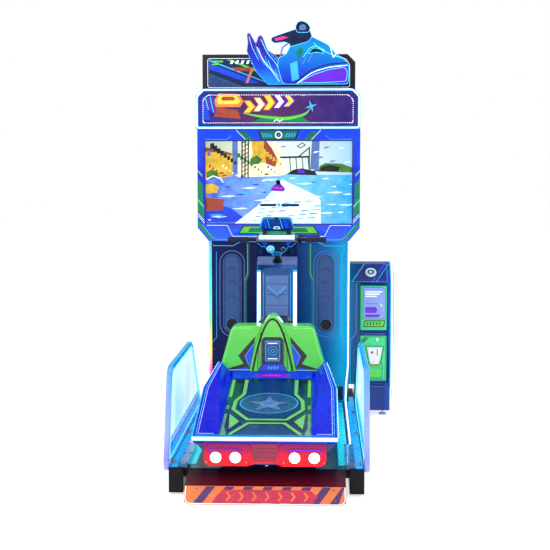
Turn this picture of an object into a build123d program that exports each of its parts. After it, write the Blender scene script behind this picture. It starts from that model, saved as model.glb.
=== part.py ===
from build123d import *
import os
from math import cos, radians, sin, sqrt, tan

# Ride-on water-scooter arcade cabinet.
# +X is the rider's right, +Y runs from the ramp to the screen, +Z is up.
# The origin is on the floor, under the middle of the base. All sizes are in millimetres.

# ---- overall layout along Y ----
LENGTH = 2400.0  # ramp toe to cabinet back
CABINET_DEPTH = 470.0
CABINET_GAP = 100.0  # free space between the scooter's nose and the cabinet front
RAIL_SETBACK = 166.0  # ramp toe to the rail end caps
RAMP_RUN = 200.0

# ---- base ----
BASE_SPAN = 1036.0  # over the outer faces of both guards
RAIL_WIDTH = 74.0
RAIL_BOTTOM = 14.0
RAIL_TOP = 141.0
RAIL_WALL = 4.0
CAP_THICK = 8.0
FLOOR_TOP = 135.0
FLOOR_THICK = 4.0
CROSS_SIZE = 60.0
CROSS_WALL = 3.0
PAD_RADIUS = 26.0
PAD_THICK = 10.0
STEM_RADIUS = 8.0
STEM_CLEARANCE = 0.3
NUT_RADIUS = 13.0
NUT_THICK = 12.0
RAMP_WIDTH = 800.0
RAMP_WALL = 4.0
RAMP_TOE_HEIGHT = 10.0
RAMP_LIP_RUN = 60.0
RAMP_LIP_HEIGHT = 81.0

# ---- side guards ----
GUARD_THICK = 23.0
GUARD_TOP = 630.0
GUARD_NEAR_LEAN = 182.0  # how far the near edge leans forward over its height
GUARD_TOP_LENGTH = 942.0
GUARD_TO_CABINET = 130.0
GUARD_BAR = 26.0
GUARD_BEND = 60.0
GUARD_MID_HEIGHT = 258.0
GLAZING_THICK = 8.0
GLAZING_CLEARANCE = 0.3
BRACKET_LENGTH = 70.0
BRACKET_THICK = 4.0
BRACKET_LEG = 26.0

# ---- cabinet ----
CABINET_LAP = 35.5  # how far the cabinet sides stand in over the rails
PANEL = 18.0  # board thickness of the cabinet
LOWER_TOP = 1195.0
HOUSING_DEPTH = 420.0
HOUSING_FORWARD = 80.0  # how far the screen housing stands out in front of the lower cabinet
HOUSING_WALL = 15.0
HOUSING_PROUD = 60.0  # least that the housing stands out beyond the lower cabinet on each side
SCREEN_WIDTH = 941.0
SCREEN_HEIGHT = 529.0
BEZEL_SIDE = 49.5
BEZEL_BOTTOM = 111.0
BEZEL_TOP = 71.0
BEZEL_THICK = 12.0
HOUSING_CHAMFER_X = 70.0
HOUSING_CHAMFER_Z = 85.0
MONITOR_DEPTH = 70.0
GLASS_THICK = 5.0
MARQUEE_HEIGHT = 250.0
MARQUEE_INSET = 5.0
MARQUEE_FORWARD = 130.0  # how far the marquee stands out in front of the screen housing
MARQUEE_DEPTH = 420.0
MARQUEE_CHAMFER = 45.0
TUBE = 16.0  # section of the light tubes
TOPPER_HEIGHT = 226.0
TOPPER_WIDTH = 973.0
TOPPER_DEPTH = 260.0
TOPPER_BACK = 20.0  # how far the topper box stands behind the housing front
CRAFT_WIDTH = 649.0
CRAFT_HEIGHT = 400.0
CRAFT_THICK = 12.0
CRAFT_STANDOFF = 60.0
STAY_SPACING = 300.0
STAY_RADIUS = 8.0
CRAFT_OFFSET = 125.0  # the cut-out stands to the right of the middle
CRAFT_LAP = 202.0  # how much of the cut-out's height lies against the topper box
STRIP = 20.0  # section of the cabinet's corner lights
RING_WIDTH = 168.0
RING_HEIGHT = 570.0
RING_CENTRE_X = 305.0
RING_BOTTOM = 562.0
RING_BAND = 14.0
RING_THICK = 8.0
SPEAKER_RADIUS = 46.0
SPEAKER_DEPTH = 60.0
MAGNET_RADIUS = 32.0
COMPUTER_SIZE = (180.0, 360.0, 360.0)
COMPUTER_PLACE = (40.0, 20.0)  # right of the middle, and behind the front board
SUPPLY_SIZE = (90.0, 160.0, 120.0)
INLET_SIZE = (24.0, 48.0, 28.0)
FAN_SIZE = 120.0
FAN_THICK = 26.0
FAN_HEIGHT = 900.0
BLADE_COUNT = 7
BLADE_PITCH = 35.0
FAN_PIN_RADIUS = 3.0

# ---- doors ----
DOOR_THICK = 16.0
DOOR_GAP = 1.0
HINGE_PIN_RADIUS = 3.0
RUNNING_CLEARANCE = 0.06
PIN_REACH = 20.0

# ---- payment column ----
COIN_WIDTH = 301.5
COIN_DEPTH = 270.0
COIN_WALL = 12.0
COIN_BODY_BOTTOM = 218.0
COIN_FRONT_TOP = 904.0
COIN_TOP = 1026.0
COIN_PLINTH_INSET = 20.0
COIN_PLINTH_GAP = 5.0  # between the plinth and the base rail
COIN_PLINTH_BOTTOM = 37.0
COIN_DOOR_WIDTH = 176.0
COIN_DOOR_LOW = 244.0
COIN_DOOR_HIGH = 546.0
PAY_DOOR_LOW = 585.0
PAY_DOOR_HIGH = 881.0
COIN_DOOR_MARGIN = 46.0  # right-hand stile beside the two small doors
SLOT_PLATE_TOP = 470.0
SLOT_PLATE_HEIGHT = 112.0
SLOT_PLATE_WIDTH = 104.0
FLAP_WIDTH = 70.0
FLAP_HEIGHT = 60.0
FLAP_BOTTOM = 268.0
FLAP_THICK = 4.0
FLAP_PIN_RADIUS = 2.5
CUP_WALL = 2.0
CUP_DEPTH = 60.0
REJECT_RADIUS = 7.0
REJECT_TRAVEL = 4.0
READER_RADIUS = 38.0

# ---- scooter ----
HULL_WIDTH = 708.0
HULL_BOTTOM = 182.0
HULL_BOTTOM_WIDTH = 500.0
HULL_TOP = 300.0
HULL_WALL = 8.0
HULL_DECK_THICK = 8.0
TRANSOM_SETBACK = 75.0
NOSE_TAPER = 550.0
NOSE_WIDTH = 380.0
NOSE_RISE = 30.0
DECK_SETBACK = 25.0
DECK_LENGTH = 925.0
DECK_LOW = 341.0
DECK_HIGH = 560.0
DECK_WALL = 8.0
DECK_NARROW_FROM = 575.0
DECK_FRONT_WIDTH = 604.0
PANEL_WIDTH = 456.0
PANEL_RISE = 133.0
PANEL_LENGTH = 855.0
COWL_FOOT = 504.0
COWL_DEPTH = 140.0
WING_FOOT_WIDTH = 611.0
WING_TOP_WIDTH = 466.0
WING_TOP = 765.0
WING_BEND = 46.0
ARCH_WIDTH = 269.0
ARCH_TOP = 825.0
ARCH_PROUD = 10.0
SEAM = 0.5
SADDLE_LENGTH = 408.0
SADDLE_WIDTH = 280.0
SADDLE_TOP = 765.0
SADDLE_THICK = 75.0
SADDLE_BEND = 34.0
SOFT_GAP = 0.3  # between the saddle and the box that carries it
SADDLE_BASE_WIDTH = 220.0
COLUMN_WIDTH = 250.0
COLUMN_WALL = 8.0
COLUMN_FOOT_SETBACK = 300.0  # behind the nose, at the deck
COLUMN_HEAD_SETBACK = 230.0  # behind the nose, at the steering head
COLUMN_HEAD_HEIGHT = 1060.0
COLUMN_SHOULDER = 900.0
COLUMN_HEAD_DEPTH = 110.0
TAIL_WIDTH = 604.0
TAIL_LOW = 186.0
TAIL_HIGH = 314.0
TAIL_DEPTH = 40.0
TAIL_RECESS = 128.0
TAIL_NOTCH = 13.0
TAIL_CORNER = 20.0
LENS_RADIUS = 27.0
LENS_HEIGHT = 231.0
LENS_INNER_SPACING = 292.0
LENS_PAIR_SPACING = 97.0
LENS_PROUD = 6.0

# ---- roll bearings ----
ROLL_HEIGHT = 156.0
ROLL_LIMIT = 6.0
SHAFT_RADIUS = 12.0
BEARING_WIDTH = 70.0
BEARING_TOP = 174.0
BEARING_LENGTH = 50.0
CLAMP_LENGTH = 40.0
CLAMP_WIDTH = 60.0
CLAMP_WALL = 4.0
CLAMP_GAP = 1.0  # end play of the scooter between its bearings
BUMP_RADIUS = 18.0
BUMP_SPACING = 440.0
BUMP_CLEARANCE = 0.6

# ---- steering ----
RAKE = 25.0
STEER_RADIUS = 16.0
STEM_REACH = 60.0  # down into the column
HEAD_WALL = 12.0
COLLAR_RADIUS = 30.0
COLLAR_THICK = 8.0
BAR_RADIUS = 11.0
BAR_HEIGHT = 150.0
BAR_LENGTH = 600.0
GRIP_RADIUS = 17.0
GRIP_LENGTH = 130.0
POD_WIDTH = 250.0
POD_LOW = 66.0
POD_HIGH = 170.0
POD_REAR = -62.0
POD_FRONT = 62.0
DASH_WIDTH = 144.0
DASH_HEIGHT = 52.0
POD_LIGHT_WIDTH = 221.0
SHIELD_FOOT_WIDTH = 221.0
SHIELD_TOP_WIDTH = 173.0
SHIELD_HEIGHT = 84.0
SHIELD_THICK = 5.0
SHIELD_BEND = 22.0
LEVER_LENGTH = 120.0
LEVER_REACH = 45.0  # from the bar to the lever
LEVER_THICK = 12.0
LEVER_PIN_RADIUS = 4.0
BUTTON_RADIUS = 14.0
BUTTON_TRAVEL = 3.5
BUTTON_PROUD = 6.0
BUTTON_LENGTH = 20.0

# ---- worked-out places ----
toe = -LENGTH / 2
back = LENGTH / 2
rail_out = BASE_SPAN / 2 - GUARD_THICK
rail_in = rail_out - RAIL_WIDTH
rail_mid = (rail_in + rail_out) / 2
rail_front = toe + RAIL_SETBACK
cabinet_front = back - CABINET_DEPTH
cabinet_half = rail_in + CABINET_LAP
housing_front = cabinet_front - HOUSING_FORWARD
housing_half = max(SCREEN_WIDTH / 2 + BEZEL_SIDE, cabinet_half + HOUSING_PROUD)
screen_low = LOWER_TOP + BEZEL_BOTTOM
housing_top = screen_low + SCREEN_HEIGHT + BEZEL_TOP
marquee_top = housing_top + MARQUEE_HEIGHT
marquee_front = housing_front - MARQUEE_FORWARD
topper_top = marquee_top + TOPPER_HEIGHT
topper_front = housing_front + TOPPER_BACK
stern = toe + DECK_SETBACK
transom = toe + TRANSOM_SETBACK
nose = cabinet_front - CABINET_GAP
hull_deck_top = HULL_TOP + HULL_DECK_THICK
cowl_rear = stern + DECK_LENGTH
cowl_front = cowl_rear + COWL_DEPTH
saddle_front = cowl_front + SADDLE_LENGTH
cross_top = FLOOR_TOP - FLOOR_THICK
cross_low = cross_top - CROSS_SIZE
coin_left = cabinet_half
coin_right = coin_left + COIN_WIDTH
coin_front = back - COIN_DEPTH
rear_bearing = transom + 220.0
front_bearing = nose - 260.0

PLANES = {"x": Plane.YZ, "y": Plane.XZ, "z": Plane.XY}
DIRECTIONS = {"x": (1, 0, 0), "y": (0, 1, 0), "z": (0, 0, 1)}


def block(x0, x1, y0, y1, z0, z1):
    """Box between two opposite corners."""
    return Pos((x0 + x1) / 2, (y0 + y1) / 2, (z0 + z1) / 2) * Box(x1 - x0, y1 - y0, z1 - z0)


def prism(points, across, low, high, bend=0.0):
    """Flat outline carried along one axis from low to high. bend rounds its corners."""
    if bend:
        line = FilletPolyline(*points, radius=bend, close=True)
    else:
        line = Polyline(*points, close=True)
    face = make_face(PLANES[across] * line)
    direction = DIRECTIONS[across]
    start = Pos(*(low * part for part in direction))
    return start * extrude(face, amount=high - low, dir=direction)


def rod(centre, along, radius, length):
    """Round bar that starts at a point and runs along one axis."""
    plane = Plane(origin=centre, z_dir=along)
    return plane.location * Cylinder(radius, length, align=(Align.CENTER, Align.CENTER, Align.MIN))


def inset(points, wall):
    """The outline moved inwards by a wall, with mitred corners. Points run anticlockwise."""
    count = len(points)
    moved = []
    for i in range(count):
        (ax, ay), (bx, by), (cx, cy) = points[i - 1], points[i], points[(i + 1) % count]
        before = Vector(bx - ax, by - ay).normalized()
        after = Vector(cx - bx, cy - by).normalized()
        normal_before = Vector(-before.Y, before.X)
        normal_after = Vector(-after.Y, after.X)
        mitre = (normal_before + normal_after) * (wall / (1 + normal_before.dot(normal_after)))
        moved.append((bx + mitre.X, by + mitre.Y))
    return moved


def panel_ring(points, wall, across, low, high):
    """One mitred board for each edge of the outline."""
    inner = inset(points, wall)
    boards = []
    for i in range(len(points)):
        j = (i + 1) % len(points)
        edge = [points[i], points[j], inner[j], inner[i]]
        boards.append(prism(edge, across, low, high))
    return boards


def section_wire(y, points):
    """Closed outline across Y, for a ruled loft."""
    return Wire.make_polygon([(x, y, z) for x, z in points], close=True)


def both_sides(shape):
    """The shape and its mirror image on the other side."""
    return [shape, mirror(shape, about=Plane.YZ)]


def save(name, *shapes):
    """Write one named node."""
    solids = []
    for shape in shapes:
        parts = shape if isinstance(shape, (list, tuple)) else [shape]
        for item in parts:
            solids.extend(item.solids())
    for number, solid in enumerate(solids):
        solid.label = f"{name}_{number + 1}" if len(solids) > 1 else name
    export_step(Compound(children=solids, label=name), f"parts/{name}.step")


# ---- base ----
def levelling_foot(x, y, seat, stem_top):
    """A pad with its stem, and the nut that it turns in, which sits on the seat."""
    pad = rod((x, y, 0), (0, 0, 1), PAD_RADIUS, PAD_THICK)
    stem = rod((x, y, PAD_THICK), (0, 0, 1), STEM_RADIUS, stem_top - PAD_THICK)
    nut = Pos(x, y, seat) * extrude(RegularPolygon(NUT_RADIUS, 6), NUT_THICK)
    nut -= rod((x, y, seat), (0, 0, 1), STEM_RADIUS, NUT_THICK)
    return [pad + stem, nut]


def foot_hole(x, y, seat, wall):
    """The hole that a foot's stem passes through, below its seat."""
    return rod((x, y, seat - wall), (0, 0, 1), STEM_RADIUS + STEM_CLEARANCE, wall)


rail_feet = [(side * rail_mid, y) for side in (-1, 1) for y in (rail_front + 140.0, back - 140.0)]
rail_seat = RAIL_BOTTOM + RAIL_WALL
centre_seat = cross_low + CROSS_WALL
plinth_seat = COIN_PLINTH_BOTTOM + COIN_WALL
plinth_foot = (coin_right - COIN_PLINTH_INSET - 45.0, coin_front + 70.0)


def base_frame():
    """Two box-section rails with box-section cross members between them."""
    y0, y1 = rail_front + CAP_THICK, back - CAP_THICK
    rails = []
    for side in (-1, 1):
        low, high = sorted((side * rail_in, side * rail_out))
        rail = block(low, high, y0, y1, RAIL_BOTTOM, RAIL_TOP)
        bore = block(low + RAIL_WALL, high - RAIL_WALL, y0, y1, RAIL_BOTTOM + RAIL_WALL, RAIL_TOP - RAIL_WALL)
        rail -= bore
        for x, y in rail_feet:
            if low < x < high:
                rail -= foot_hole(x, y, rail_seat, RAIL_WALL)
        rails.append(rail)
    members = []
    for y in (rear_bearing, 0.0, front_bearing, back - 120.0):
        y0, y1 = y - CROSS_SIZE / 2, y + CROSS_SIZE / 2
        member = block(-rail_in, rail_in, y0, y1, cross_low, cross_top)
        z0, z1 = cross_low + CROSS_WALL, cross_top - CROSS_WALL
        member -= block(-rail_in, rail_in, y0 + CROSS_WALL, y1 - CROSS_WALL, z0, z1)
        if y == 0.0:
            member -= foot_hole(0, 0, centre_seat, CROSS_WALL)
        members.append(member)
    save("base_frame", rails, members)


def rail_end_caps():
    caps = []
    for side in (-1, 1):
        low, high = sorted((side * rail_in, side * rail_out))
        caps.append(block(low, high, rail_front, rail_front + CAP_THICK, RAIL_BOTTOM, RAIL_TOP))
        caps.append(block(low, high, back - CAP_THICK, back, RAIL_BOTTOM, RAIL_TOP))
    save("rail_end_caps", caps)


def leveling_feet():
    feet = [levelling_foot(x, y, rail_seat, RAIL_BOTTOM + 50.0) for x, y in rail_feet]
    feet.append(levelling_foot(0, 0, centre_seat, centre_seat + 30.0))
    feet.append(levelling_foot(*plinth_foot, plinth_seat, plinth_seat + 30.0))
    save("leveling_feet", *feet)


ramp_back = toe + RAMP_RUN


def base_deck():
    """Floor plate between the rails, and the ramp that leads up to it."""
    save("base_deck", block(-rail_in, rail_in, ramp_back, cabinet_front, cross_top, FLOOR_TOP))
    outer = [
        (toe, RAMP_TOE_HEIGHT / 2),
        (toe + 2.0, RAMP_TOE_HEIGHT),
        (toe + RAMP_LIP_RUN, RAMP_LIP_HEIGHT),
        (ramp_back, FLOOR_TOP),
    ]
    inner = [
        (ramp_back, FLOOR_TOP - RAMP_WALL),
        (toe + RAMP_LIP_RUN + RAMP_WALL, RAMP_LIP_HEIGHT - RAMP_WALL),
        (toe + 2.0 + RAMP_WALL * 1.6, RAMP_TOE_HEIGHT - RAMP_WALL),
        (toe + 2.0, RAMP_TOE_HEIGHT / 2 - 1.0),
    ]
    half = RAMP_WIDTH / 2
    skin = prism(outer + inner, "x", -half, half)
    cheek = [
        (toe + 40.0, RAIL_BOTTOM),
        (ramp_back, RAIL_BOTTOM),
        (ramp_back, FLOOR_TOP - RAMP_WALL),
        (toe + RAMP_LIP_RUN + RAMP_WALL, RAMP_LIP_HEIGHT - RAMP_WALL),
    ]
    cheeks = both_sides(prism(cheek, "x", half - RAMP_WALL, half))
    save("ramp_cover", skin, cheeks)


def guard_outline():
    """Side view of a guard: bottom near, bottom far, top far, top near."""
    near = rail_front
    far = cabinet_front - GUARD_TO_CABINET
    top_near = near + GUARD_NEAR_LEAN
    top_far = top_near + GUARD_TOP_LENGTH
    return [(near, RAIL_TOP), (far, RAIL_TOP), (top_far, GUARD_TOP), (top_near, GUARD_TOP)]


def guards():
    """Rounded frame with a middle bar, clear glazing above it and a coloured panel below."""
    outline = guard_outline()
    opening = inset(outline, GUARD_BAR)
    bend = GUARD_BEND - GUARD_BAR
    x0, x1 = rail_out, BASE_SPAN / 2
    mid0, mid1 = GUARD_MID_HEIGHT - GUARD_BAR / 2, GUARD_MID_HEIGHT + GUARD_BAR / 2
    hole = prism(opening, "x", x0, x1, bend)
    bar = block(x0, x1, toe, back, mid0, mid1)
    frame = prism(outline, "x", x0, x1, GUARD_BEND) - (hole - bar)
    save("guard_frames", both_sides(frame))
    centre = (x0 + x1) / 2
    g0, g1 = centre - GLAZING_THICK / 2, centre + GLAZING_THICK / 2
    fill = prism(inset(outline, GUARD_BAR + GLAZING_CLEARANCE), "x", g0, g1, bend)
    upper = fill & block(g0, g1, toe, back, mid1 + GLAZING_CLEARANCE, GUARD_TOP)
    lower = fill & block(g0, g1, toe, back, 0, mid0 - GLAZING_CLEARANCE)
    save("guard_glass", both_sides(upper))
    save("guard_kick_panels", both_sides(lower))


def guard_brackets():
    """Angle brackets that hold the guards to the rail tops."""
    near = rail_front
    far = cabinet_front - GUARD_TO_CABINET
    brackets = []
    for y in (near + 120.0, (near + far) / 2, far - 240.0):
        y0, y1 = y - BRACKET_LENGTH / 2, y + BRACKET_LENGTH / 2
        foot = block(rail_out - BRACKET_LEG, rail_out, y0, y1, RAIL_TOP, RAIL_TOP + BRACKET_THICK)
        leg = block(rail_out - BRACKET_THICK, rail_out, y0, y1, RAIL_TOP, RAIL_TOP + BRACKET_LEG)
        brackets.extend(both_sides(foot + leg))
    save("guard_brackets", brackets)


def edge_lights():
    """Light strips along the rail tops, and up the cabinet's front corners."""
    along = block(rail_in + 4.0, rail_in + 4.0 + STRIP, rail_front + 40.0, cabinet_front - STRIP,
                  RAIL_TOP, RAIL_TOP + STRIP * 0.7)
    up = block(cabinet_half - STRIP, cabinet_half, cabinet_front - STRIP, cabinet_front, RAIL_TOP, LOWER_TOP)
    save("edge_lights", both_sides(along), both_sides(up))


# ---- cabinet ----
def lower_cabinet():
    """Side boards, front board and shelves on the rails."""
    inner = cabinet_half - PANEL
    side = block(inner, cabinet_half, cabinet_front, back, RAIL_TOP, LOWER_TOP)
    left = mirror(side, about=Plane.YZ)
    left -= inlet_body()
    save("cabinet_sides", side, left)
    front = block(-inner, inner, cabinet_front, cabinet_front + PANEL, RAIL_TOP, LOWER_TOP)
    for x in (-RING_CENTRE_X, RING_CENTRE_X):
        front -= rod((x, cabinet_front, speaker_height), (0, 1, 0), SPEAKER_RADIUS, PANEL)
    save("cabinet_front", front)
    y0, y1 = cabinet_front + PANEL, back - DOOR_THICK - DOOR_GAP
    floor = block(-inner, inner, y0, y1, RAIL_TOP, RAIL_TOP + PANEL)
    roof = block(-inner, inner, y0, y1, LOWER_TOP - PANEL, LOWER_TOP)
    bearer_y = back - DOOR_THICK / 2
    roof += block(-inner, inner, y1, back, LOWER_TOP - PANEL, LOWER_TOP)
    floor += block(-inner, inner, y1, back, RAIL_TOP, RAIL_TOP + PANEL)
    for z in (RAIL_TOP, LOWER_TOP - PANEL):
        bore = rod((rear_hinge_x, bearer_y, z), (0, 0, 1), HINGE_PIN_RADIUS, PANEL)
        floor -= bore
        roof -= bore
    save("cabinet_shelves", floor, roof)


speaker_height = RING_BOTTOM + RING_WIDTH / 2
rear_hinge_x = -(cabinet_half - PANEL - DOOR_GAP - DOOR_THICK / 2)


def pivot_door(x0, x1, y0, z0, z1, hinge_left=True):
    """Flat door whose hinge stile is half round about its pivot, with a blind bore at each end."""
    radius = DOOR_THICK / 2
    y = y0 + radius
    hinge_x = x0 + radius if hinge_left else x1 - radius
    low, high = (hinge_x, x1) if hinge_left else (x0, hinge_x)
    door = block(low, high, y0, y0 + DOOR_THICK, z0, z1)
    door += rod((hinge_x, y, z0), (0, 0, 1), radius, z1 - z0)
    bore_radius = HINGE_PIN_RADIUS + RUNNING_CLEARANCE
    for z in (z0, z1 - PIN_REACH):
        door -= rod((hinge_x, y, z), (0, 0, 1), bore_radius, PIN_REACH)
    return door


def door_pins(x, y, z0, z1, wall):
    """Fixed pins that reach out of the boards below and above a door."""
    reach = wall + DOOR_GAP + PIN_REACH - 2.0
    low = rod((x, y, z0 - DOOR_GAP - wall), (0, 0, 1), HINGE_PIN_RADIUS, reach)
    high = rod((x, y, z1 + DOOR_GAP + wall - reach), (0, 0, 1), HINGE_PIN_RADIUS, reach)
    return [low, high]


rear_door_low = RAIL_TOP + PANEL + DOOR_GAP
rear_door_high = LOWER_TOP - PANEL - DOOR_GAP
coin_hinge_x = coin_right - COIN_DOOR_MARGIN - COIN_DOOR_WIDTH + DOOR_THICK / 2
coin_door_left = coin_right - COIN_DOOR_MARGIN - COIN_DOOR_WIDTH
coin_door_right = coin_right - COIN_DOOR_MARGIN


def rear_door():
    half = cabinet_half - PANEL - DOOR_GAP
    door = pivot_door(-half, half, back - DOOR_THICK, rear_door_low, rear_door_high)
    door -= rod((0, back - DOOR_THICK, FAN_HEIGHT), (0, 1, 0), FAN_SIZE / 2 - 4.0, DOOR_THICK)
    save("rear_door", door)


def hinge_pins():
    rear = door_pins(rear_hinge_x, back - DOOR_THICK / 2, rear_door_low, rear_door_high, PANEL)
    y = coin_front + DOOR_THICK / 2
    coin = door_pins(coin_hinge_x, y, COIN_DOOR_LOW, COIN_DOOR_HIGH, COIN_WALL)
    pay = door_pins(coin_hinge_x, y, PAY_DOOR_LOW, PAY_DOOR_HIGH, COIN_WALL)
    save("hinge_pins", rear, coin, pay)


def exhaust_fan():
    """Square fan frame on the inside of the rear door, with its rotor."""
    y1 = back - DOOR_THICK
    y0 = y1 - FAN_THICK
    half = FAN_SIZE / 2
    frame = block(-half, half, y0, y1, FAN_HEIGHT - half, FAN_HEIGHT + half)
    frame -= rod((0, y0, FAN_HEIGHT), (0, 1, 0), half - 4.0, FAN_THICK)
    hub = rod((0, y0, FAN_HEIGHT), (0, 1, 0), 22.0, 5.0)
    spider = hub
    for angle in (45, 135, 225, 315):
        arm = block(0, half, y0, y0 + 4.0, -3.0, 3.0)
        arm = Pos(0, 0, FAN_HEIGHT) * (Rot(0, angle, 0) * arm)
        spider += arm
    spider &= rod((0, y0, FAN_HEIGHT), (0, 1, 0), half - 2.0, FAN_THICK)
    spider += rod((0, y0, FAN_HEIGHT), (0, 1, 0), FAN_PIN_RADIUS, FAN_THICK - 6.0)
    save("exhaust_fan", frame + spider)
    rotor = rod((0, y0 + 6.0, FAN_HEIGHT), (0, 1, 0), 20.0, FAN_THICK - 8.0)
    for number in range(BLADE_COUNT):
        blade = Rot(BLADE_PITCH, 0, 0) * block(12.0, half - 8.0, -8.0, 8.0, -1.2, 1.2)
        blade = Pos(0, y0 + FAN_THICK / 2 + 1.0, 0) * blade
        rotor += Pos(0, 0, FAN_HEIGHT) * (Rot(0, 360.0 / BLADE_COUNT * number, 0) * blade)
    rotor -= rod((0, y0 + 6.0, FAN_HEIGHT), (0, 1, 0), FAN_PIN_RADIUS + RUNNING_CLEARANCE, FAN_THICK - 11.0)
    save("fan_rotor", rotor)


def inlet_body():
    """Power inlet through the left side board."""
    wide, long, high = INLET_SIZE
    x = -cabinet_half - 3.0
    y, z = back - 160.0, RAIL_TOP + PANEL + 90.0
    return block(x, x + 3.0 + PANEL, y - long / 2, y + long / 2, z - high / 2, z + high / 2)


def electronics():
    """Game computer on the cabinet floor, and the power supply with its inlet on the left board."""
    floor = RAIL_TOP + PANEL
    wide, long, high = COMPUTER_SIZE
    x0 = COMPUTER_PLACE[0]
    y0 = cabinet_front + PANEL + COMPUTER_PLACE[1]
    save("game_computer", block(x0, x0 + wide, y0, y0 + long, floor, floor + high))
    wide, long, high = SUPPLY_SIZE
    x0 = -cabinet_half + PANEL
    y, z = back - 160.0, floor + 90.0
    supply = block(x0, x0 + wide, y - long / 2, y + long / 2, z - high / 2, z + high / 2)
    save("power_supply", supply, inlet_body())


def front_details():
    """Light rings on the front board, and the loudspeakers at their feet."""
    rings = []
    half, high = RING_WIDTH / 2, RING_HEIGHT
    for x in (-RING_CENTRE_X, RING_CENTRE_X):
        centre = RING_BOTTOM + high / 2
        plane = Plane(origin=(x, cabinet_front, centre), x_dir=(0, 0, 1), z_dir=(0, -1, 0))
        band = SlotOverall(high, RING_WIDTH) - SlotOverall(high - 2 * RING_BAND, RING_WIDTH - 2 * RING_BAND)
        rings.append(extrude(plane * band, RING_THICK))
    save("ring_lights", rings)
    speakers = []
    for x in (-RING_CENTRE_X, RING_CENTRE_X):
        basket = rod((x, cabinet_front - 2.0, speaker_height), (0, 1, 0), SPEAKER_RADIUS, PANEL + 2.0)
        rear = (x, cabinet_front + PANEL, speaker_height)
        magnet = rod(rear, (0, 1, 0), MAGNET_RADIUS, SPEAKER_DEPTH)
        speakers.append(basket + magnet)
    save("speakers", speakers)


def screen_housing():
    """Chamfered box of boards with the monitor, its glass and the bezel in front."""
    cx, cz = HOUSING_CHAMFER_X, HOUSING_CHAMFER_Z
    w, low, top = housing_half, LOWER_TOP, housing_top
    outline = [(-w + cx, low), (w - cx, low), (w, low + cz), (w, top), (-w, top), (-w, low + cz)]
    y0 = housing_front + BEZEL_THICK
    y1 = housing_front + HOUSING_DEPTH
    boards = panel_ring(outline, HOUSING_WALL, "y", y0, y1)
    rear = prism(inset(outline, HOUSING_WALL), "y", y1 - HOUSING_WALL, y1)
    save("screen_housing", boards, rear)
    half = SCREEN_WIDTH / 2
    high = screen_low + SCREEN_HEIGHT
    y2 = housing_front
    foot = [(-w + cx, low), (w - cx, low), (w, low + cz), (w, screen_low), (-w, screen_low), (-w, low + cz)]
    bars = [
        prism(foot, "y", y2, y0),
        block(-w, w, y2, y0, high, top),
        block(-w, -half, y2, y0, screen_low, high),
        block(half, w, y2, y0, screen_low, high),
    ]
    save("bezel_panel", bars)
    lap = 12.0
    glass_low, glass_high = screen_low - lap, high + lap
    save("screen_glass", block(-half - lap, half + lap, y0, y0 + GLASS_THICK, glass_low, glass_high))
    m0 = y0 + GLASS_THICK
    monitor = block(-half - lap, half + lap, m0, m0 + MONITOR_DEPTH, glass_low, glass_high)
    arm_y = m0 + MONITOR_DEPTH
    mount = block(-100.0, 100.0, arm_y, y1 - HOUSING_WALL, screen_low + SCREEN_HEIGHT / 2 - 100.0,
                  screen_low + SCREEN_HEIGHT / 2 + 100.0)
    save("monitor", monitor, mount)


marquee_half = housing_half - MARQUEE_INSET


def marquee_outline():
    c, w = MARQUEE_CHAMFER, marquee_half
    low, top = housing_top, marquee_top
    return [(-w, low), (w, low), (w, top - c), (w - c, top), (-w + c, top), (-w, top - c)]


def marquee():
    """Overhanging light box with a tube of light around its face."""
    outline = marquee_outline()
    y0 = marquee_front + TUBE
    y1 = marquee_front + MARQUEE_DEPTH
    boards = panel_ring(outline, HOUSING_WALL, "y", y0, y1)
    rear = prism(inset(outline, HOUSING_WALL), "y", y1 - HOUSING_WALL, y1)
    save("marquee_box", boards, rear)
    save("marquee_light", panel_ring(outline, TUBE, "y", marquee_front, y0))
    face = prism(inset(outline, TUBE), "y", y0 - 6.0, y0)
    save("marquee_panel", face)


def craft_outline():
    """Rider on a water scooter, seen from the side, as one cut-out board."""
    w, h = CRAFT_WIDTH / 2, CRAFT_HEIGHT
    hull_side = [(-0.58, 0.0), (0.98, 0.0), (1.0, 0.30), (0.91, 0.41), (0.74, 0.48), (0.60, 0.63)]
    back_and_head = [(0.38, 0.72), (0.22, 0.78), (0.22, 0.88), (0.14, 0.97), (0.07, 1.0), (0.0, 0.97)]
    arms = [(-0.06, 0.87), (-0.10, 0.85), (-0.36, 0.79), (-0.52, 0.73), (-0.47, 0.66), (-0.25, 0.67)]
    stern_side = [(-0.19, 0.61), (-0.24, 0.48), (-0.38, 0.46), (-0.47, 0.41)]
    splash = [(-0.63, 0.57), (-0.70, 0.77), (-0.77, 0.79), (-0.83, 0.66), (-0.95, 0.82), (-1.0, 0.80)]
    wave_back = [(-0.98, 0.68), (-1.0, 0.53), (-0.91, 0.39), (-0.80, 0.21)]
    points = hull_side + back_and_head + arms + stern_side + splash + wave_back
    x, z = CRAFT_OFFSET, topper_top - CRAFT_LAP
    return [(x + a * w, z + b * h) for a, b in points]


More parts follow.
